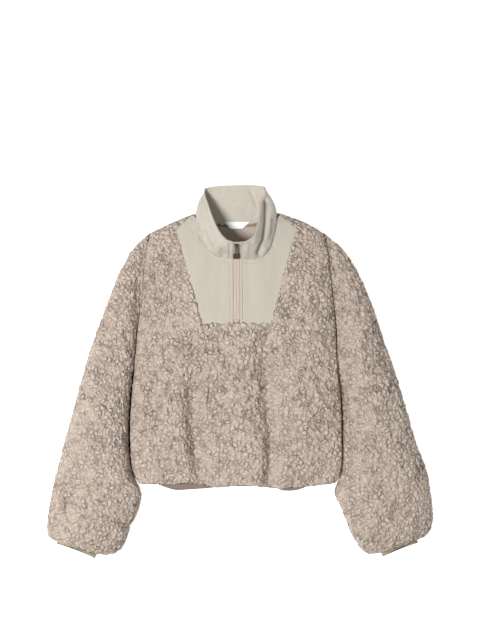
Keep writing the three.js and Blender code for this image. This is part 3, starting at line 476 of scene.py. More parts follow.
def fleeceMaterial():
    r = Recipe("sherpa_pile")
    # the attribute read here is painted shade from the geometry: crevices between curls, and seams
    paintedShadeAndTone = r.add("ShaderNodeAttribute", attribute_name="paintedShadeAndTone").outputs["Fac"]
    uneven = r.wander(90, 9)
    curls = r.cells(112, "F1", uneven)
    gaps = r.cells(112, "DISTANCE_TO_EDGE", uneven)
    small = r.cells(260, "F1", uneven)
    fibres = r.noise(950, 3, 0.65)
    where = r.spread(r.noise(60, 2), 0.4, 0.62, 0.3, 1.0)
    # crevice marks the gaps between curls; below it darkens the colour as painted shade and also lowers the
    # bump
    crevice = r.combine(r.spread(gaps, 0.0, 0.19, 1.0, 0.0), where, "MULTIPLY")
    depth = r.combine(r.spread(paintedShadeAndTone, 0.25, 1.0, 0.0, 0.4), r.combine(crevice, 0.6, "MULTIPLY"))
    tips = r.blend(r.spread(fibres, 0.35, 0.7), linear(fleece["tip"]), linear(fleece["mid"]))
    # painted shade: the colour turns to the dark shade colour where the mask is high
    color = r.blend(r.spread(depth, 0.0, 1.0), tips, linear(fleece["paintedShadeColor"]))
    height = r.combine(r.spread(curls, 0.0, 0.75, 1.0, 0.0), r.spread(small, 0.0, 0.8, 0.35, 0.0))
    height = r.combine(height, r.combine(crevice, -0.4, "MULTIPLY"))
    height = r.combine(height, r.spread(fibres, 0.3, 0.7, 0.0, 0.14))
    r.bump(height, 4.6, 1.0)
    return r.finish(color, 0.95, Sheen_Weight=0.3, Sheen_Roughness=0.5,
                    Sheen_Tint=linear((235, 222, 210)), Specular_IOR_Level=0.12)


def backingMaterial():
    r = Recipe("fleece_backing")
    knit = r.noise(1.0, 1, 0.4, r.stretch(900, 350, 900))
    color = r.blend(r.spread(knit, 0.3, 0.7), linear(fleece["backing"]), linear((128, 110, 97)))
    r.bump(knit, 0.3, 0.5)
    return r.finish(color, 0.9)


woven = {"face": (192, 186, 174), "shade": (180, 173, 160), "thread": 0.6}


def wovenMaterial():
    r = Recipe("woven_cloth")
    threads = r.combine(r.waves("X", woven["thread"]), r.waves("Y", woven["thread"]), "MULTIPLY")
    slubs = r.noise(1.0, 3, 0.6, r.stretch(160, 900, 400))
    rumples = r.noise(1.0, 2, 0.5, r.stretch(60, 22, 40))
    color = r.blend(r.spread(slubs, 0.3, 0.75), linear(woven["face"]), linear(woven["shade"]))
    height = r.combine(r.combine(threads, r.spread(slubs, 0.3, 0.7)), r.spread(rumples, 0.3, 0.7, 0.0, 3.0))
    r.bump(height, 0.16, 0.7)
    return r.finish(color, 0.7, Sheen_Weight=0.2, Sheen_Roughness=0.35, Specular_IOR_Level=0.3)


def plainCloth(name, face, shade, scale=(500, 500, 500), roughness=0.85, depth=0.2):
    r = Recipe(name)
    grain = r.noise(1.0, 2, 0.5, r.stretch(*scale))
    color = r.blend(r.spread(grain, 0.3, 0.7), linear(face), linear(shade))
    r.bump(grain, depth, 0.6)
    return r.finish(color, roughness)


def metalMaterial():
    r = Recipe("dark_plated_metal")
    wear = r.noise(1200, 3, 0.6)
    color = r.blend(r.spread(wear, 0.5, 0.72), linear((96, 84, 70)), linear((150, 136, 118)))
    r.bump(r.noise(2500, 1), 0.04, 0.4)
    return r.finish(color, 0.36, Metallic=0.85)


def moulded(name, light, dark, roughness):
    r = Recipe(name)
    grain = r.noise(1500, 2)
    color = r.blend(r.spread(grain, 0.35, 0.7), linear(light), linear(dark))
    r.bump(grain, 0.05, 0.5)
    return r.finish(color, roughness)


pileCloth = fleeceMaterial()
backing = backingMaterial()
wovenCloth = wovenMaterial()
wovenInside = plainCloth("collar_lining", (196, 189, 177), (184, 176, 163), (240, 900, 500))
tapeCloth = plainCloth("zip_tape_cloth", (198, 184, 170), (182, 167, 152), (1400, 500, 900))
coilCloth = plainCloth("zip_coil", (202, 188, 175), (180, 165, 152), (300, 1500, 900), 0.6)
thread = plainCloth("stitch_thread", (206, 196, 180), (180, 170, 154), (2500, 2500, 2500))
labelSatin = plainCloth("label_satin", (250, 250, 247), (242, 242, 238), (300, 2600, 600), 0.5, 0.08)
facingKnit = plainCloth("smooth_facing", (190, 177, 163), (172, 158, 144), (900, 350, 900))
bindingKnit = plainCloth("elastic_binding", (164, 154, 132), (130, 121, 101), (500, 1200, 900))
# painted shade: a dark cloth for the inside of the cuff, standing in for the deep shade inside the sleeve;
# the real binding inside is olive
cuffInsidePaintedShade = plainCloth("cuff_inside_painted_shade", (82, 70, 56), (58, 48, 38), (500, 1200, 900))
# the back hem facing's own knit colour, made darker as painted shadow from the front's hem lying over it
hemKnitWithPaintedShade = plainCloth("hem_facing_knit_painted_shade", (140, 124, 113), (118, 103, 93), (900, 350, 900))
metal = metalMaterial()
tipPlastic = moulded("moulded_pull_tip", (74, 57, 49), (56, 43, 37), 0.5)
pullFace = moulded("pull_plate_coating", (112, 100, 86), (92, 80, 69), 0.45)
print("materials made")


# Front: fleece with a cut-out for the yoke


def foldDepth(x, y):
    depth = 0
    for fold in frontFolds:
        away = (x - follow(fold, "y", "x", y)) / follow(fold, "y", "width", y)
        depth = depth + follow(fold, "y", "depth", y) * np.exp(-away * away)
    return depth


def frontHeight(x, y, inset=0.0):
    left = follow(leftEdge, "y", "x", y) + inset
    right = follow(rightEdge, "y", "x", y) - inset
    share = np.clip((x - left) / (right - left), 0, 1)
    rise = lerp(follow(leftEdge, "y", "rise", y), follow(rightEdge, "y", "rise", y), share)
    top = follow(crown, "y", "z", y) - body["crownFall"] * (x / body["halfWidth"]) ** 2 - foldDepth(x, y)
    side = rollOver(x - left, body["sideRoll"]) * rollOver(right - x, body["sideRoll"])
    over = rollOver(follow(shoulderLine, "x", "y", x) - inset - y, body["shoulderRoll"])
    sided = rise + (top - inset - rise) * side
    return body["shoulderHeight"] + (sided - body["shoulderHeight"]) * over


def bodyPlan(u, v, hangs=False):
    edgeY = lerp(body["hemY"], body["armTopY"], v)
    nearX = lerp(follow(leftEdge, "y", "x", edgeY), follow(rightEdge, "y", "x", edgeY), u)
    hemY = follow(hemLine, "x", "y", nearX) - (follow(backHem, "x", "drop", nearX) if hangs else 0)
    y = lerp(hemY, follow(shoulderLine, "x", "y", nearX), v)
    x = lerp(follow(leftEdge, "y", "x", y), follow(rightEdge, "y", "x", y), u)
    return np.broadcast_arrays(x, y)


def edgeDistances(x, y):
    left = x - follow(leftEdge, "y", "x", y)
    right = follow(rightEdge, "y", "x", y) - x
    return left, right, follow(shoulderLine, "x", "y", x) - y


def insetPlan(x, y, depth, sides=1.0, reach=40.0):
    # moves points inwards near the side and shoulder edges, by all of depth at the edge itself
    left, right, top = (depth * (1 - np.clip(d / reach, 0, 1)) ** 1.5 for d in edgeDistances(x, y))
    return x + sides * (left - right), y - top


def yokeOutline(gap):
    half, bottom = body["yokeBottomHalf"] + gap, body["yokeBottomY"] - gap
    right = [(x + gap, y + 2 * gap) for x, y in yokeShoulder]
    left = [(-x, y) for x, y in reversed(right)]
    return [(-half, bottom), (half, bottom)] + right + [(84, 320), (-84, 320)] + left


front = {
    "spacing": 2.08,      # of the grid, fine enough for the curls
    "openingRoll": 5.0,   # the pile rolls down to the yoke over this length
    "openingDrop": 2.3,
    "overhang": 3.4,      # curls that lie over the edge of the yoke
    "hemRoll": 7.0, "hemDrop": 4.0, "hemRagged": 1.0,
    "seamReach": 7.0,     # the pile is shorter this close to a seam
}


def seamFade(x, y, reach):
    left, right, top = edgeDistances(x, y)
    return 0.35 + 0.65 * easeIn(np.minimum(np.minimum(left, right), top), reach)


def makeFront():
    s = front
    width, length = 2 * body["halfWidth"], body["armTopY"] - body["hemY"]
    u = rolledSteps(width, body["sideRoll"], body["sideRoll"], 15, int((width - 52) / s["spacing"]))[None, :]
    v = rolledSteps(length, 0, body["shoulderRoll"], 13, int((length - 24) / s["spacing"]))[:, None]
    x, y = bodyPlan(u, v)
    x, y, away, keep = cutGrid(x, y, yokeOutline(0.45), s["spacing"])
    outer = stack(x, y, frontHeight(x, y))
    normal = gridNormals(outer)
    depth, paintedShadeAndTone = pile(outer)
    shorter = seamFade(x, y, s["seamReach"])
    deep = depth * shorter * (0.45 + 0.55 * easeIn(away, s["openingRoll"]))
    drop = s["openingDrop"] * (1 - rollOver(away, s["openingRoll"]))
    hem = y - follow(hemLine, "x", "y", x)
    drop = drop + s["hemDrop"] * (1 - rollOver(hem, s["hemRoll"]))
    outer = outer - normal * deep[..., None] - stack(0, 0, drop)
    outer[..., 1] += depth * s["hemRagged"] * np.exp(-hem / 5)
    toYoke = unit(stack(outer[..., 0], outer[..., 1] - 175, 0)) * np.exp(-away / 2.5)[..., None]
    ragged = s["overhang"] * (1.5 * softNoise(outer, 7, 41) + 0.4) - 0.35 * depth
    outer = outer - toYoke * np.clip(ragged, 0, None)[..., None]
    innerX, innerY = insetPlan(x, y, wall["pile"])
    inner = stack(innerX, innerY, frontHeight(innerX, innerY, wall["pile"]))
    # the attribute is painted shade: crevices between curls, and more near the seams where the pile is
    # shorter
    piece = shell("front_fleece", outer, inner, keep, facts={"paintedShadeAndTone": np.clip(paintedShadeAndTone + 0.9 - shorter, 0, 1)})
    return dress(piece, [pileCloth, backing], ["front_body"])


# Back: flat on the table, curled up to the side seams below the arms


back = {"spacing": 2.9, "seamReach": 7.0, "underPile": 0.3, "hemRagged": 0.8}


def neckHole(depth=21, half=80, top=272, far=320, steps=9):
    curve = [(lerp(-half, half, k / steps), top - depth * math.sin(math.pi * k / steps) ** 0.7)
             for k in range(steps + 1)]
    return [(-half, far)] + curve + [(half, far)]


def makeBack():
    s = back
    roll = body["backRoll"]
    width, length = 2 * body["halfWidth"], body["armTopY"] - body["hemY"]
    u = rolledSteps(width, roll, roll, 10, int((width - 2 * roll) / s["spacing"]))[None, :]
    v = rolledSteps(length, roll, roll, 10, int((length - 2 * roll) / s["spacing"]))[:, None]
    curl = np.clip((body["underarmY"] - lerp(body["hemY"], body["armTopY"], v)) / body["curlReach"], 0, 1)

    def height(x, y, depth):
        rise = np.where(x < 0, follow(leftEdge, "y", "rise", y), follow(rightEdge, "y", "rise", y))
        left, right, top = edgeDistances(x, y)
        side = curl * (1 - rollOver(np.minimum(left, right) - depth * curl, roll))
        over = 1 - rollOver(top - depth, roll)
        seam = body["seamGap"]
        return lerp(lerp(depth, rise - seam, side), body["shoulderHeight"] - seam, over)

    x, y = bodyPlan(u, v, True)
    x, y, away, keep = cutGrid(x, y, neckHole(), s["spacing"])
    outer = stack(x, y, height(x, y, 0.0))
    depth, paintedShadeAndTone = pile(outer)
    normal = gridNormals(outer)
    low = np.clip(outer[..., 2] / 6, s["underPile"], 1) * seamFade(x, y, s["seamReach"])
    outer = outer + normal * (depth * low)[..., None]
    hem = y - follow(hemLine, "x", "y", x) + follow(backHem, "x", "drop", x)
    outer[..., 1] += depth * s["hemRagged"] * np.exp(-hem / 5)
    outer[..., 2] = np.maximum(outer[..., 2], 0.05)
    innerX, innerY = insetPlan(x, y, wall["pile"], curl)
    inner = stack(innerX, innerY, height(innerX, innerY, wall["pile"]))
    # the attribute is painted shade in the crevices between curls
    piece = shell("back_fleece", outer, inner, keep, facts={"paintedShadeAndTone": paintedShadeAndTone})
    return dress(piece, [pileCloth, backing], ["back_body"])


# Sleeves: full tubes from the armhole's crease to the gathered wrist


sleeves = {
    "round": 2.3, "roll": 18.0, "creaseReach": 0.06, "stations": 270, "ring": 184,
    "dentLean": 0.12, "underPile": 0.25,
    "tuck": 4.5,          # the lining's edges lie this much deeper than the pile's
    "seamReach": 0.012,
}


def sleevePoints(side, turn, at, depth):
    rows = sleeveRows[side]
    ix, iy, ox, oy = (follow(rows, "at", c, at) for c in ("ix", "iy", "ox", "oy"))
    width = np.hypot(ox - ix, oy - iy)
    across = (1 - np.cos(turn * 2 * math.pi)) / 2
    along = lerp(depth, width - depth, across)
    x, y = ix + (ox - ix) * along / width, iy + (oy - iy) * along / width
    freed = np.clip(at / sleeves["creaseReach"], 0, 1)
    edgeTable, sign = (leftEdge, -1) if side == "left" else (rightEdge, 1)
    creaseY = lerp(body["underarmY"], body["armTopY"], along / width)
    creaseX = follow(edgeTable, "y", "x", creaseY) + sign * (body["seamGap"] + depth)
    x, y = lerp(creaseX, x, freed), lerp(creaseY, y, freed)
    edge = lerp(follow(edgeTable, "y", "rise", creaseY), follow(rows, "at", "edge", at), freed)
    edge = edge - (depth > 0) * sleeves["tuck"]
    top = lerp(edge, follow(rows, "at", "crown", at), freed)
    shelf = follow(rows, "at", "shelf", at)
    raised = np.clip((across - shelf) / (1 - shelf), 0, 1)
    dome = (1 - np.abs(2 * raised - 1) ** sleeves["round"]) ** (1 / sleeves["round"])
    dents = 0
    for place, middle, length, spread, deep in sleeveDents[side]:
        offset = (at - place - sleeves["dentLean"] * (across - middle)) / length
        dents = dents + deep * np.exp(-offset * offset - ((across - middle) / spread) ** 2)
    upper = edge + np.maximum(top - depth - dents - edge, 0) * dome
    under = 1 - rollOver(np.minimum(along - depth, width - depth - along), sleeves["roll"])
    z = np.where(turn > 0.5, lerp(depth, edge, under), upper)
    return stack(x, y, z)


def makeSleeve(side):
    s = sleeves
    turn, at = grid(np.arange(s["ring"]) / s["ring"], np.linspace(0, 1, s["stations"]))
    outer = sleevePoints(side, turn, at, 0.0)
    normal = gridNormals(outer, True)
    if normal[:, s["ring"] // 4, 2].mean() < 0:
        normal = -normal
    depth, paintedShadeAndTone = pile(outer)
    shorter = 0.35 + 0.65 * easeIn(at, s["seamReach"])
    low = np.clip(outer[..., 2] / 6, s["underPile"], 1) * shorter
    outer = outer - normal * (depth * low)[..., None]
    outer[..., 2] = np.maximum(outer[..., 2], 0.05)
    inner = sleevePoints(side, turn, at, wall["pile"])
    # painted shade: crevices between curls, and more near the armhole seam where the pile is shorter
    facts = {"paintedShadeAndTone": np.clip(paintedShadeAndTone + 0.9 - shorter, 0, 1)}
    piece = shell("sleeve_fleece_" + side, outer, inner, None, True, facts)
    return dress(piece, [pileCloth, backing], ["sleeve_" + side])


makeBack()
print("back made")
makeFront()
print("front made")
for side in ("left", "right"):
    makeSleeve(side)
print("sleeves made")


# Yoke: two panels of woven cloth, sunk between the fleece edges, turned in along the zip


yoke = {
    "inset": 0.8,                        # the cloth goes this far under the fleece's edge
    "turned": 5.7, "turnedHeight": 0.9,  # raised edge along the zip
    "groove": 0.8, "grooveWidth": 0.7,   # stitched groove beside it
    "waves": 0.55,                       # the cloth isn't quite flat
    "settle": 4 / 90,                    # and lies still this close to its seams, as a share of a side
    "across": 84, "along": 110,
}
yokeCreases = [
    ([(-37, 174.5), (-25, 175.5), (-15, 177)], 1.8, 0.9),
    ([(22, 176), (38, 176), (54, 184), (74, 206)], 3.5, 1.8),
    ([(24, 170), (27, 130), (26, 90)], 7, 0.8),
    ([(-30, 165), (-33, 120), (-31, 80)], 8, 0.7),
    ([(60, 200), (56, 150)], 8, 0.9),
    ([(-66, 205), (-62, 160)], 9, -0.8),
    ([(84, 236), (100, 246)], 5, 0.8),
    ([(-84, 238), (-99, 248)], 5, 0.8),
]


def yokeTop(u, side):
    rows = collarRows
    picked = rows["at"] >= 0.61 if side > 0 else rows["at"] <= 0.39
    seam = list(zip(side * rows["fx"][picked], rows["fy"][picked]))
    path = np.array((seam[::-1] if side > 0 else seam) + yokeShoulder[::-1])
    run = np.concatenate([[0], np.cumsum(np.hypot(*np.diff(path, axis=0).T))])
    places = {"at": run / run[-1], "x": path[:, 0], "y": path[:, 1]}
    return follow(places, "at", "x", u), follow(places, "at", "y", u)


def yokePlan(u, v, side):
    half, bottomY, topY = body["yokeBottomHalf"], body["yokeBottomY"], body["yokeTopY"]
    topX, seamY = yokeTop(u, side)
    zipX, zipTopY = body["zipHalf"], float(yokeTop(0.0, side)[1])
    tipX = body["yokeTopHalf"]
    bottomX = lerp(zipX, half, u)
    sideX = lerp(zipX, lerp(half, tipX, v), u)
    sideY = lerp(lerp(bottomY, zipTopY, v), lerp(bottomY, topY, v), u)
    endX, endY = lerp(bottomX, topX, v), lerp(bottomY, seamY, v)
    flatX, flatY = lerp(bottomX, lerp(zipX, tipX, u), v), lerp(bottomY, lerp(zipTopY, topY, u), v)
    return (sideX + endX - flatX) * side, sideY + endY - flatY


def yokeHeight(x, y):
    return frontHeight(x, y) - body["yokeDrop"]


def yokeRelief(x, y):
    s = yoke
    away = np.abs(x) - body["zipHalf"]
    raised = s["turnedHeight"] * (1 - easeIn(away - s["turned"] + 0.6, 1.2)) * easeIn(away + 0.3, 0.8)
    groove = s["groove"] * np.exp(-((away - s["turned"] - 0.3) / s["grooveWidth"]) ** 2)
    waves = (softNoise(stack(x, y, x * 0) * (1, 0.45, 1), 17, 61) - 0.5) * 2 * s["waves"]
    puckers = (softNoise(stack(x, y, x * 0) * (1, 1.6, 1), 5, 63) - 0.5) * 0.5 * np.exp(-away / 8)
    return raised - groove + waves + puckers - creaseDepth(x, y, yokeCreases)


def makeYoke(side, word):
    s = yoke
    near = np.arange(0, 9, 0.45) / (body["yokeTopHalf"] - body["zipHalf"])
    u = np.concatenate([near, np.linspace(near[-1], 1, s["across"])[1:]])[None, :]
    v = np.linspace(0, 1, s["along"])[:, None]
    x, y = np.broadcast_arrays(*yokePlan(u, v, side))
    outerX = x - side * s["inset"] * easeIn(u - 0.9, 0.1)
    relief = yokeRelief(outerX, y)
    settled = easeIn(np.minimum(1 - u, v), s["settle"]) * easeIn(1 - v, s["settle"] / 2)
    z = yokeHeight(outerX, y)
    outer = stack(outerX, y, z + relief * settled - 0.15)
    inner = stack(outerX, y, z + np.minimum(relief, 0) * settled - wall["woven"])
    panel = shell("yoke_panel_" + word, outer, inner)
    path = []
    for place in np.linspace(body["yokeBottomY"] + 2, 176, 90):
        x = side * (body["zipHalf"] + s["turned"] + 0.25)
        point = np.array([x]), np.array([place])
        path.append((x, place, float(yokeHeight(*point)[0] + yokeRelief(*point)[0]) + 0.1))
    row = threadRow("yoke_stitches_" + word, path, 2.3, 0.8, 0.28)
    dress(panel, [wovenCloth, wovenInside], ["yoke_" + word])
    dress(row, [thread], ["yoke_" + word])


# Collar: stands up round the neck and buckles under its own weight


collar = {
    "lift": 0.2, "middleY": 240, "round": 330, "up": 44, "waves": 0.8,
    "cloth": 36,                      # height of the wall that the places of its seams go by
    "rim": 0.9, "rimReach": 4.5,      # the cloth swells where it turns over at the rim
    "stitched": 4.2, "seam": 1.2,     # rows below the rim and above the foot
}
collarCreases = [
    ([(-65, 236), (-58, 220), (-51, 207)], 4, 3.2),
    ([(-79, 252), (-75, 240), (-72, 228)], 4, 1.8),
    ([(-70, 283), (-66, 262), (-60, 244)], 4, 1.6),
    ([(-29, 198), (-25, 192)], 5.5, 4.2),
    ([(-13.6, 211), (-13.6, 187)], 3.0, 2.0),
    ([(-43, 207), (-35, 189)], 4, -1.8),
    ([(-53, 240), (-46, 224), (-34, 211)], 5, -1.4),
    ([(60, 300), (61, 258), (57, 219), (46, 195)], 6, 11),
    ([(46, 292), (45, 252), (34, 219)], 5, -2.2),
    ([(10, 209), (10, 187)], 2.5, 1.6),
    ([(22, 212), (19, 192)], 4, -1.2),
    ([(74, 262), (72, 236), (62, 210)], 4, 3.0),
    ([(28, 319), (36, 303), (41.5, 287)], 3, 2.8),
    ([(44, 312), (47, 296)], 2.2, 0.8),
    ([(36, 321), (43, 309)], 2.0, 0.6),
    ([(-51, 317), (-43, 319), (-35, 321)], 2.5, 1.2),
    ([(-23, 323), (-28, 303), (-31, 283)], 7, -0.8),
    ([(18, 272), (24, 289)], 4, 0.8),
]


def collarLine(at, end):
    names = ("rx", "ry", "rz") if end == "rim" else ("fx", "fy", "fz")
    x, y, z = (follow(collarRows, "at", name, at) for name in names)
    return stack(x, y, z if end == "rim" else z + collar["lift"])


def collarMiddle(at, up):
    foot, rim = collarLine(at, "foot"), collarLine(at, "rim")
    along = change(lambda place: collarLine(place, "foot"), at, 0.01)
    out = unit(np.cross(along, rim - foot))
    facing = out[..., 0] * foot[..., 0] + out[..., 1] * (foot[..., 1] - collar["middleY"])
    out = out * np.where(facing < 0, -1, 1)[..., None]
    bulge = follow(collarRows, "at", "bulge", at) * np.sin(math.pi * up)
    return foot + (rim - foot) * up[..., None] + out * bulge[..., None]


def makeCollar():
    s = collar
    at, up = grid(np.linspace(0, 1, s["round"]), np.linspace(0, 1, s["up"]))
    middle = collarMiddle(at, up)
    onwards = change(lambda place: collarMiddle(place, up), at, 0.01)
    rise = change(lambda place: collarMiddle(at, place), up, 0.01)
    out = unit(np.cross(rise, onwards))
    px, py = seenFromAbove(middle)
    fade = easeIn(up, 0.12) * easeIn(np.minimum(at, 1 - at), 0.02)
    buckle = creaseDepth(px, py, collarCreases)
    buckle = buckle - (softNoise(middle * (1, 1, 0.5), 13, 71) - 0.5) * 2 * s["waves"]
    # the inside of the back shows its face, so there a trough goes outwards
    towards = np.where(out[..., 2] > 0, -1, 1) * easeIn(np.abs(out[..., 2]), 0.15)
    middle = middle + out * (buckle * fade * towards)[..., None]
    fromRim, fromFoot = (1 - up) * s["cloth"], up * s["cloth"]
    rolled = s["rim"] * (1 - rollOver(fromRim, s["rimReach"]))
    stitched = 0.35 * np.exp(-((fromRim - s["stitched"]) / 0.6) ** 2)
    seam = 0.5 * np.exp(-((fromFoot - s["seam"]) / 0.8) ** 2)
    half = (wall["collar"] / 2 + rolled - stitched - seam)[..., None]
    piece = shell("collar_cloth", middle + out * half, middle - out * half)
    dress(piece, [wovenCloth, wovenInside], ["collar"])


# Zip: tape with its coil up the middle of the yoke and the collar, slider and pull


zipper = {
    "seamY": 183, "sink": 0.7, "bend": 3.0, "nearEdge": 0.15, "farEdge": 6.2,
    "coil": 2.9, "coilHeight": 0.3, "rib": 1.25, "ribHeight": 0.14, "rows": 380,
    "length": 178,        # of the tape, for its ribs
    "stitches": 3.75,     # from the middle of the zip to the row of stitches
}
slider = {
    "length": 10, "width": 8, "nose": 4.8, "shoulder": 5.5, "height": 2.6, "topGap": 3.5,
    "strapWidth": 3.0, "strapLength": 7.0, "strapHeight": 4.2, "strap": 1.2, "edge": 0.45,
    "low": 0.3, "corner": 1.2,
}
pull = {
    "length": 38, "width": 7.5, "thick": 1.4, "bar": 0.7, "arm": 2.0, "eye": 5.1, "edge": 0.28,
    "tipLength": 15, "tipWidth": 12, "tipThick": 2.6, "tipShoulder": 2, "tipEdge": 0.55, "tilt": 0.035,
}
footPoint = np.array([0, 183, 48.2])
rimPoint = np.array([0, 212, 86.0])


def zipLine(way):
    s = zipper
    low = body["yokeBottomY"]
    split = (s["seamY"] - low) / (s["seamY"] - low + np.linalg.norm(rimPoint - footPoint))
    y = lerp(low, s["seamY"] - s["bend"], np.clip(way / split, 0, 1))
    onYoke = stack(0, y, yokeHeight(y * 0, y) - s["sink"])
    t = np.clip((way - split) / (1 - split), 0, 1)[..., None]
    onCollar = footPoint + (rimPoint - footPoint) * t - (0, 0, s["sink"])
    return np.where((way <= split)[..., None], onYoke, onCollar)


def makeTape(side, word):
    s = zipper
    # closer points where the coil meets the tape
    steps = np.concatenate([[s["nearEdge"], 0.35, 0.7], np.arange(1.2, 2.7, 0.5),
                            np.arange(2.7, 4.1, 0.28), np.linspace(4.3, s["farEdge"], 5)])
    reach, way = grid(steps, np.linspace(0, 1, s["rows"]))
    point = zipLine(way)
    run = way * s["length"]
    step = change(zipLine, way, 0.02)
    face = unit(stack(0, -step[..., 2], step[..., 1]))
    ribs = np.sin(2 * math.pi * (run + 0.55 * reach) / s["rib"]) * s["ribHeight"]
    onCoil = 1 - easeIn(reach - s["coil"] + 0.2, 0.4)
    relief = onCoil * (s["coilHeight"] + ribs) * easeIn(reach, 0.7)
    relief = relief - 0.25 * np.exp(-((reach - s["coil"] - 0.45) / 0.22) ** 2)
    relief = relief + 0.12 * (softNoise(point + stack(reach, 0, 0), 5, 81) - 0.5)
    low = point - face * wall["tape"]
    outer = point + face * relief[..., None]
    outer[..., 0] += side * reach
    low[..., 0] += side * reach
    tape = shell("zip_tape_" + word, outer, low)
    for polygon in tape.data.polygons:
        if polygon.material_index == 0 and abs(polygon.center.x) < (s["coil"] + 0.2) * mm:
            polygon.material_index = 2
    path = [(side * s["stitches"], p[1], p[2] + 0.08) for p in zipLine(np.linspace(0.03, 0.96, 300))]
    row = threadRow("zip_stitches_" + word, path, 1.5, 0.9, 0.2)
    dress(tape, [tapeCloth, tapeCloth, coilCloth], ["zip_tape_" + word])
    dress(row, [thread], ["zip_tape_" + word])


def makeZipEnd():
    # both tapes are turned under at the zip's lower end and sewn down
    points = []
    for k in range(7):
        y = 57.0 + 0.55 * k
        z = float(yokeHeight(np.array([0.0]), np.array([y]))[0]) + 0.55
        points.append([(x, y, z + 0.25 * math.cos(x / 5.5 * 1.5)) for x in np.linspace(-5.2, 5.2, 12)])
    path = [p for k, line in enumerate(points) for p in (line if k % 2 == 0 else line[::-1])]
    dress(threadRow("zip_end_tack", path, 10.0, 0.6, 0.38), [thread])


def roundedRect(left, right, bottom, top, radius, steps=5):
    points = []
    corners = ((right, bottom, -90), (right, top, 0), (left, top, 90), (left, bottom, 180))
    for x, y, start in corners:
        cx = x - radius if x == right else x + radius
        cy = y - radius if y == top else y + radius
        for k in range(steps + 1):
            angle = math.radians(start + 90 * k / steps)
            points.append((cx + radius * math.cos(angle), cy + radius * math.sin(angle)))
    return points


def mirrored(points):
    return points + [(-x, y) for x, y in reversed(points)]


def plate(name, outline, low, high, edge, hole=None):
    # flat piece with rounded edges, standing on low in its own frame
    form = bmesh.new()
    ring = [form.verts.new((x * mm, y * mm, low * mm)) for x, y in outline]
    if hole:
        inside = [form.verts.new((x * mm, y * mm, low * mm)) for x, y in hole]
        count = len(ring)
        faces = [form.faces.new((ring[k], ring[(k + 1) % count], inside[(k + 1) % count], inside[k]))
                 for k in range(count)]
    else:
        faces = [form.faces.new(ring)]
    lifted = bmesh.ops.extrude_face_region(form, geom=faces)["geom"]
    bmesh.ops.translate(form, verts=[v for v in lifted if isinstance(v, bmesh.types.BMVert)],
                        vec=(0, 0, (high - low) * mm))
    bmesh.ops.recalc_face_normals(form, faces=form.faces)
    sharp = [e for e in form.edges if len(e.link_faces) == 2 and e.calc_face_angle() > 1.0]
    bmesh.ops.bevel(form, geom=sharp, offset=edge * mm, segments=3, profile=0.6, affect="EDGES",
                    clamp_overlap=True)
    mesh = bpy.data.meshes.new(name)
    form.to_mesh(mesh)
    form.free()
    return link(name, mesh)


def strap(name, path, width, thick):
    # bent flat bar along a line of (y, z) points
    path = np.asarray(path, float)
    onwards = unit(np.gradient(path, axis=0))
    side = np.stack([-onwards[:, 1], onwards[:, 0]], axis=-1)
    corners = [(-0.5, -0.32), (-0.36, -0.5), (0.36, -0.5), (0.5, -0.32),
               (0.5, 0.32), (0.36, 0.5), (-0.36, 0.5), (-0.5, 0.32)]
    points, faces = [], []
    for p, n in zip(path, side):
        points += [(a * width * mm, (p[0] + n[0] * b * thick) * mm, (p[1] + n[1] * b * thick) * mm)
                   for a, b in corners]
    for k in range(len(path) - 1):
        for i in range(8):
            j = (i + 1) % 8
            faces.append((k * 8 + i, k * 8 + j, k * 8 + 8 + j, k * 8 + 8 + i))
    faces += [tuple(range(7, -1, -1)), tuple(range(len(points) - 8, len(points)))]
    return linkMesh(name, points, faces)


def onSlope(piece, lift=0.0, along=0.0, tilt=0.0):
    # lays a piece on the slope of the collar's front, turned about the pull's bar
    up = unit(rimPoint - footPoint)
    origin = rimPoint - up * slider["topGap"]
    slope = Matrix(((1, 0, 0, 0), (0, up[1], -up[2], origin[1] * mm),
                    (0, up[2], up[1], origin[2] * mm), (0, 0, 0, 1)))
    move = Matrix.Translation((0, along * mm, lift * mm)) @ Matrix.Rotation(tilt, 4, "X")
    piece.data.transform(slope @ move)
    return piece


def makeSlider():
    s = slider
    nose, half = s["nose"] / 2, s["width"] / 2
    low, corner = s["low"], s["corner"]
    outline = mirrored([(nose, -s["length"]), (half, -s["shoulder"]), (half, -corner), (half - corner, 0)])
    base = plate("zip_slider_body", outline, low, low + s["height"], s["edge"])
    reach, height = s["strapLength"] / 2 - s["strap"] / 2, s["strapHeight"] - s["strap"] / 2
    arch = [(reach * math.cos(a) if abs(math.cos(a)) < 0.9 else reach * math.copysign(1, math.cos(a)),
             height * min(1.0, 1.25 * math.sin(a)) + 0.2) for a in np.linspace(0, math.pi, 25)]
    bridge = strap("zip_slider_bridge", arch, s["strapWidth"], s["strap"])
    onSlope(base)
    onSlope(bridge, low + s["height"] - 0.5, -s["length"] / 2)
    for piece in (base, bridge):
        dress(piece, [metal], ["zip_slider"])


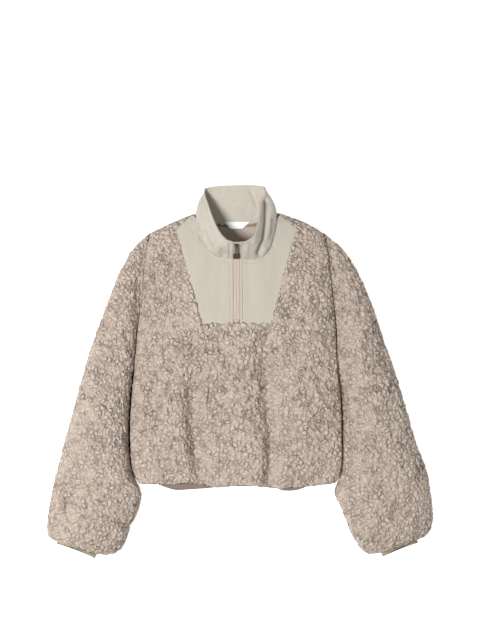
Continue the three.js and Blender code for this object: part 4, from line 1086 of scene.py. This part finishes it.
def makePull():
    s = pull
    half, tipTop, wide = s["width"] / 2, s["tipLength"] - s["length"], s["tipWidth"] / 2
    lift = slider["low"] + slider["height"] - 0.4 + (slider["strapHeight"] - slider["strap"]) / 2
    frameRing = roundedRect(-half, half, tipTop - 1, s["bar"], 0.65)
    eye = roundedRect(-s["arm"], s["arm"], -s["eye"], -s["bar"], 0.6)
    face = plate("pull_plate", frameRing, -s["thick"] / 2, s["thick"] / 2, s["edge"], eye)
    panelRing = roundedRect(-half + 1.1, half - 1.1, tipTop + 1, -s["eye"] - 1.5, 0.8)
    panel = plate("pull_panel", panelRing, 0, s["thick"] / 2 + 0.3, 0.25)
    end, shoulder = -s["length"], s["tipShoulder"]
    outline = [(wide - 1.5, end), (wide - 0.5, end + 0.5), (wide, end + 1.5), (wide, tipTop - shoulder),
               (half, tipTop + shoulder)]
    tip = plate("pull_tip", mirrored(outline), -s["tipThick"] / 2, s["tipThick"] / 2, s["tipEdge"])
    for piece, material, slot in ((face, pullFace, "zip_metal"), (panel, pullFace, "zip_metal"),
                                  (tip, tipPlastic, "pull_tip")):
        onSlope(piece, lift, -slider["length"] / 2, s["tilt"])
        dress(piece, [material], ["zip_pull"], pullTab)


# Trim: label, facings and the bindings at the wrists


label = {
    "left": (-25, -13), "right": (28, 12), "topY": 257, "bottomY": 243, "high": 15.2, "bow": 0.5,
    "hemmed": 1.1, "stitched": 1.5,   # both from the label's ends
}
facings = {
    "neckBottom": 205, "neckTop": 247.5, "neckHalf": 58, "neckCorner": 16,
    "hemDepth": 22, "hemHalf": 158, "fromHem": 1, "high": 9.3, "ripple": 0.25,
}
cuff = {
    "length": 8.5, "top": 21.0, "gathers": 34, "gather": 0.5, "ring": 150, "rows": 12,
    "upperCut": 0.8,      # the upper layer stops short by this share, so the opening shows
    "turnedIn": 0.72,     # beyond this share of the length the inside shows the binding too
}
wrists = {"left": (-281, -410, -358, -381), "right": (290, -407, 361, -379)}


def makeLabel():
    s = label
    u, v = grid(np.linspace(0, 1, 110), np.linspace(0, 1, 34))
    left = lerp(s["left"][1], s["left"][0], v)
    right = lerp(s["right"][1], s["right"][0], v)
    x, y = lerp(left, right, u), lerp(s["bottomY"], s["topY"], v)
    bow = s["bow"] * np.sin(math.pi * v) * (0.4 + 0.6 * np.sin(math.pi * u)) - s["bow"]
    nearEnd = np.minimum(x - left, right - x)
    bow = bow + 0.18 * (1 - easeIn(nearEnd - s["hemmed"], 0.4))
    bow = bow - 0.22 * np.exp(-((nearEnd - s["stitched"]) / 0.3) ** 2)
    bow = bow + 0.3 * (softNoise(stack(x, y, 0), 9, 91) - 0.5)
    outer = stack(x, y, s["high"] + bow - 0.2)
    piece = shell("neck_label", outer, outer - (0, 0, wall["trim"]))
    for k, (top, bottom) in enumerate((s["left"], s["right"])):
        inwards = s["stitched"] if k == 0 else -s["stitched"]
        path = [(lerp(bottom, top, t) + inwards, lerp(s["bottomY"], s["topY"], t), s["high"] - 0.62)
                for t in np.linspace(0.05, 0.95, 12)]
        row = threadRow("label_stitches_" + ("left", "right")[k], path, 1.5, 0.8, 0.22)
        dress(row, [thread], ["neck_label"])
    dress(piece, [labelSatin], ["neck_label"])


def layFacing(name, x, y, grain, seed, material):
    s = facings
    ripple = s["ripple"] * 2 * (softNoise(stack(x, y, 0), grain, seed) - 0.5)
    outer = stack(x, y, s["high"] + ripple - s["ripple"])
    piece = shell(name, outer, outer - (0, 0, wall["trim"]))
    dress(piece, [material], [name])


def makeFacings():
    s = facings
    u, v = grid(np.linspace(-1, 1, 120), np.linspace(0, 1, 44))
    y = lerp(s["neckBottom"], s["neckTop"], v)
    half = s["neckHalf"] - s["neckCorner"] * (1 - rollOver(y - s["neckBottom"], s["neckCorner"]))
    layFacing("back_neck_facing", u * half, y, 12, 95, facingKnit)
    u, v = grid(np.linspace(-1, 1, 320), np.linspace(0, 1, 14))
    x = u * s["hemHalf"]
    y = follow(hemLine, "x", "y", x) - follow(backHem, "x", "drop", x) + s["fromHem"] + v * s["hemDepth"]
    # its cloth is darker than the neck facing: painted shadow under the front's hem
    layFacing("back_hem_facing", x, y, 9, 97, hemKnitWithPaintedShade)


def makeCuff(side):
    s = cuff
    ix, iy, ox, oy = wrists[side]
    width = math.hypot(ox - ix, oy - iy)
    outwards = np.array([ox - ix, oy - iy]) / width
    onwards = np.array([-outwards[1], outwards[0]])
    onwards = onwards if onwards[1] < 0 else -onwards
    turn, v = grid(np.arange(s["ring"]) / s["ring"], np.linspace(0, 1, s["rows"]))
    across = (1 - np.cos(turn * 2 * math.pi)) / 2
    gather = s["gather"] * (0.5 + 0.5 * np.cos(turn * 2 * math.pi * s["gathers"] + 2 * np.sin(turn * 31)))
    reach = np.where(turn < 0.5, 1 - s["upperCut"] * np.sin(math.pi * across), 1.0)

    def ringPoints(depth):
        run = np.clip(width * across, depth.min(), width - depth.min())[..., None]
        plan = np.array([ix, iy]) + outwards * run + onwards * (0.3 + v * reach * s["length"])[..., None]
        roundness = np.sqrt(np.maximum(1 - (2 * across - 1) ** 2, 0))
        half = np.maximum(s["top"] / 2 - depth, 0.2)
        z = s["top"] / 2 + np.where(turn > 0.5, -half, half) * roundness
        return stack(plan[..., 0], plan[..., 1], z)

    edge = 0.5 * np.exp(-(((1 - v) * s["length"]) / 1.0) ** 2)
    outer = ringPoints(gather + 0.15 + edge * 0.5)
    inner = ringPoints(wall["cuff"] - 0.2 + gather * 0.3)
    piece = shell("cuff_binding_" + side, outer, inner, None, True)
    # inner faces keep the dark painted shade cloth, except beyond turnedIn, where they show the binding
    for polygon in piece.data.polygons:
        run = np.array(polygon.center.xy) / mm - (ix, iy)
        if run @ onwards > s["turnedIn"] * s["length"]:
            polygon.material_index = 0
    dress(piece, [bindingKnit, cuffInsidePaintedShade], ["cuff_" + side])


for side, word in ((-1, "left"), (1, "right")):
    makeYoke(side, word)
    makeTape(side, word)
    makeCuff(word)
print("yoke, zip tape and cuffs made")
makeCollar()
makeZipEnd()
makeSlider()
makePull()
makeLabel()
makeFacings()
print("collar, zip and trim made")


# Camera, light and floor


light = {
    "key": {"place": (-1.25, -0.25, 2.85), "size": 0.8, "power": 102},
    "fill": {"place": (1.2, -0.6, 2.6), "size": 2.2, "power": 5},
    # shade is the floor's painted shade colour under the garment
    "world": 0.28, "floor": (252, 252, 252), "glow": 0.7, "shade": (66, 52, 42),
}


def makeView():
    data = bpy.data.cameras.new("camera")
    data.sensor_fit = "VERTICAL"
    data.angle = 2 * math.atan(lens["span"] / (lens["height"] - 20))
    camera = link("camera", data)
    camera.location = (lens["x"] * mm, lens["y"] * mm, lens["height"] * mm)
    bpy.context.scene.camera = camera


def softLight(name, place, size, power):
    data = bpy.data.lights.new(name, "AREA")
    data.shape = "DISK"
    data.size = size
    data.energy = power
    lamp = link(name, data)
    lamp.location = place
    lamp.rotation_mode = "QUATERNION"
    lamp.rotation_quaternion = Vector(place).to_track_quat("Z", "Y")


def makeStudio():
    for name in ("key", "fill"):
        softLight(name, **light[name])
    world = bpy.data.worlds.new("studio")
    world.use_nodes = True
    world.node_tree.nodes["Background"].inputs["Color"].default_value = (1, 1, 1, 1)
    world.node_tree.nodes["Background"].inputs["Strength"].default_value = light["world"]
    bpy.context.scene.world = world
    bpy.context.scene.view_settings.view_transform = "Standard"
    far, under = 6000, -0.4
    corners = np.array([(-far, -far, under), (far, -far, under), (far, far, under), (-far, far, under)])
    floor = linkMesh("floor", corners * mm, [(0, 1, 2, 3)], False)
    r = Recipe("pale_floor")
    # painted shade: dark where the garment covers the table, which shows as shadow in the gaps between the
    # sleeves and the body; bright around it
    axes = r.add("ShaderNodeSeparateXYZ", {0: r.place}).outputs
    sides = r.spread(r.combine(axes["X"], 0.0, "ABSOLUTE"), 0.226, 0.23)
    low = r.spread(axes["Y"], -0.262, -0.256, 1.0, 0.0)
    high = r.spread(axes["Y"], -0.04, -0.01)
    bare = r.combine(sides, r.combine(low, high, "MAXIMUM"), "MAXIMUM")
    color = r.blend(bare, linear(light["shade"]), linear(light["floor"]))
    glow = r.combine(bare, light["glow"], "MULTIPLY")
    floor.data.materials.append(
        r.finish(color, 0.9, Emission_Color=(1, 1, 1, 1), Emission_Strength=glow))


makeView()
makeStudio()
print("studio made")
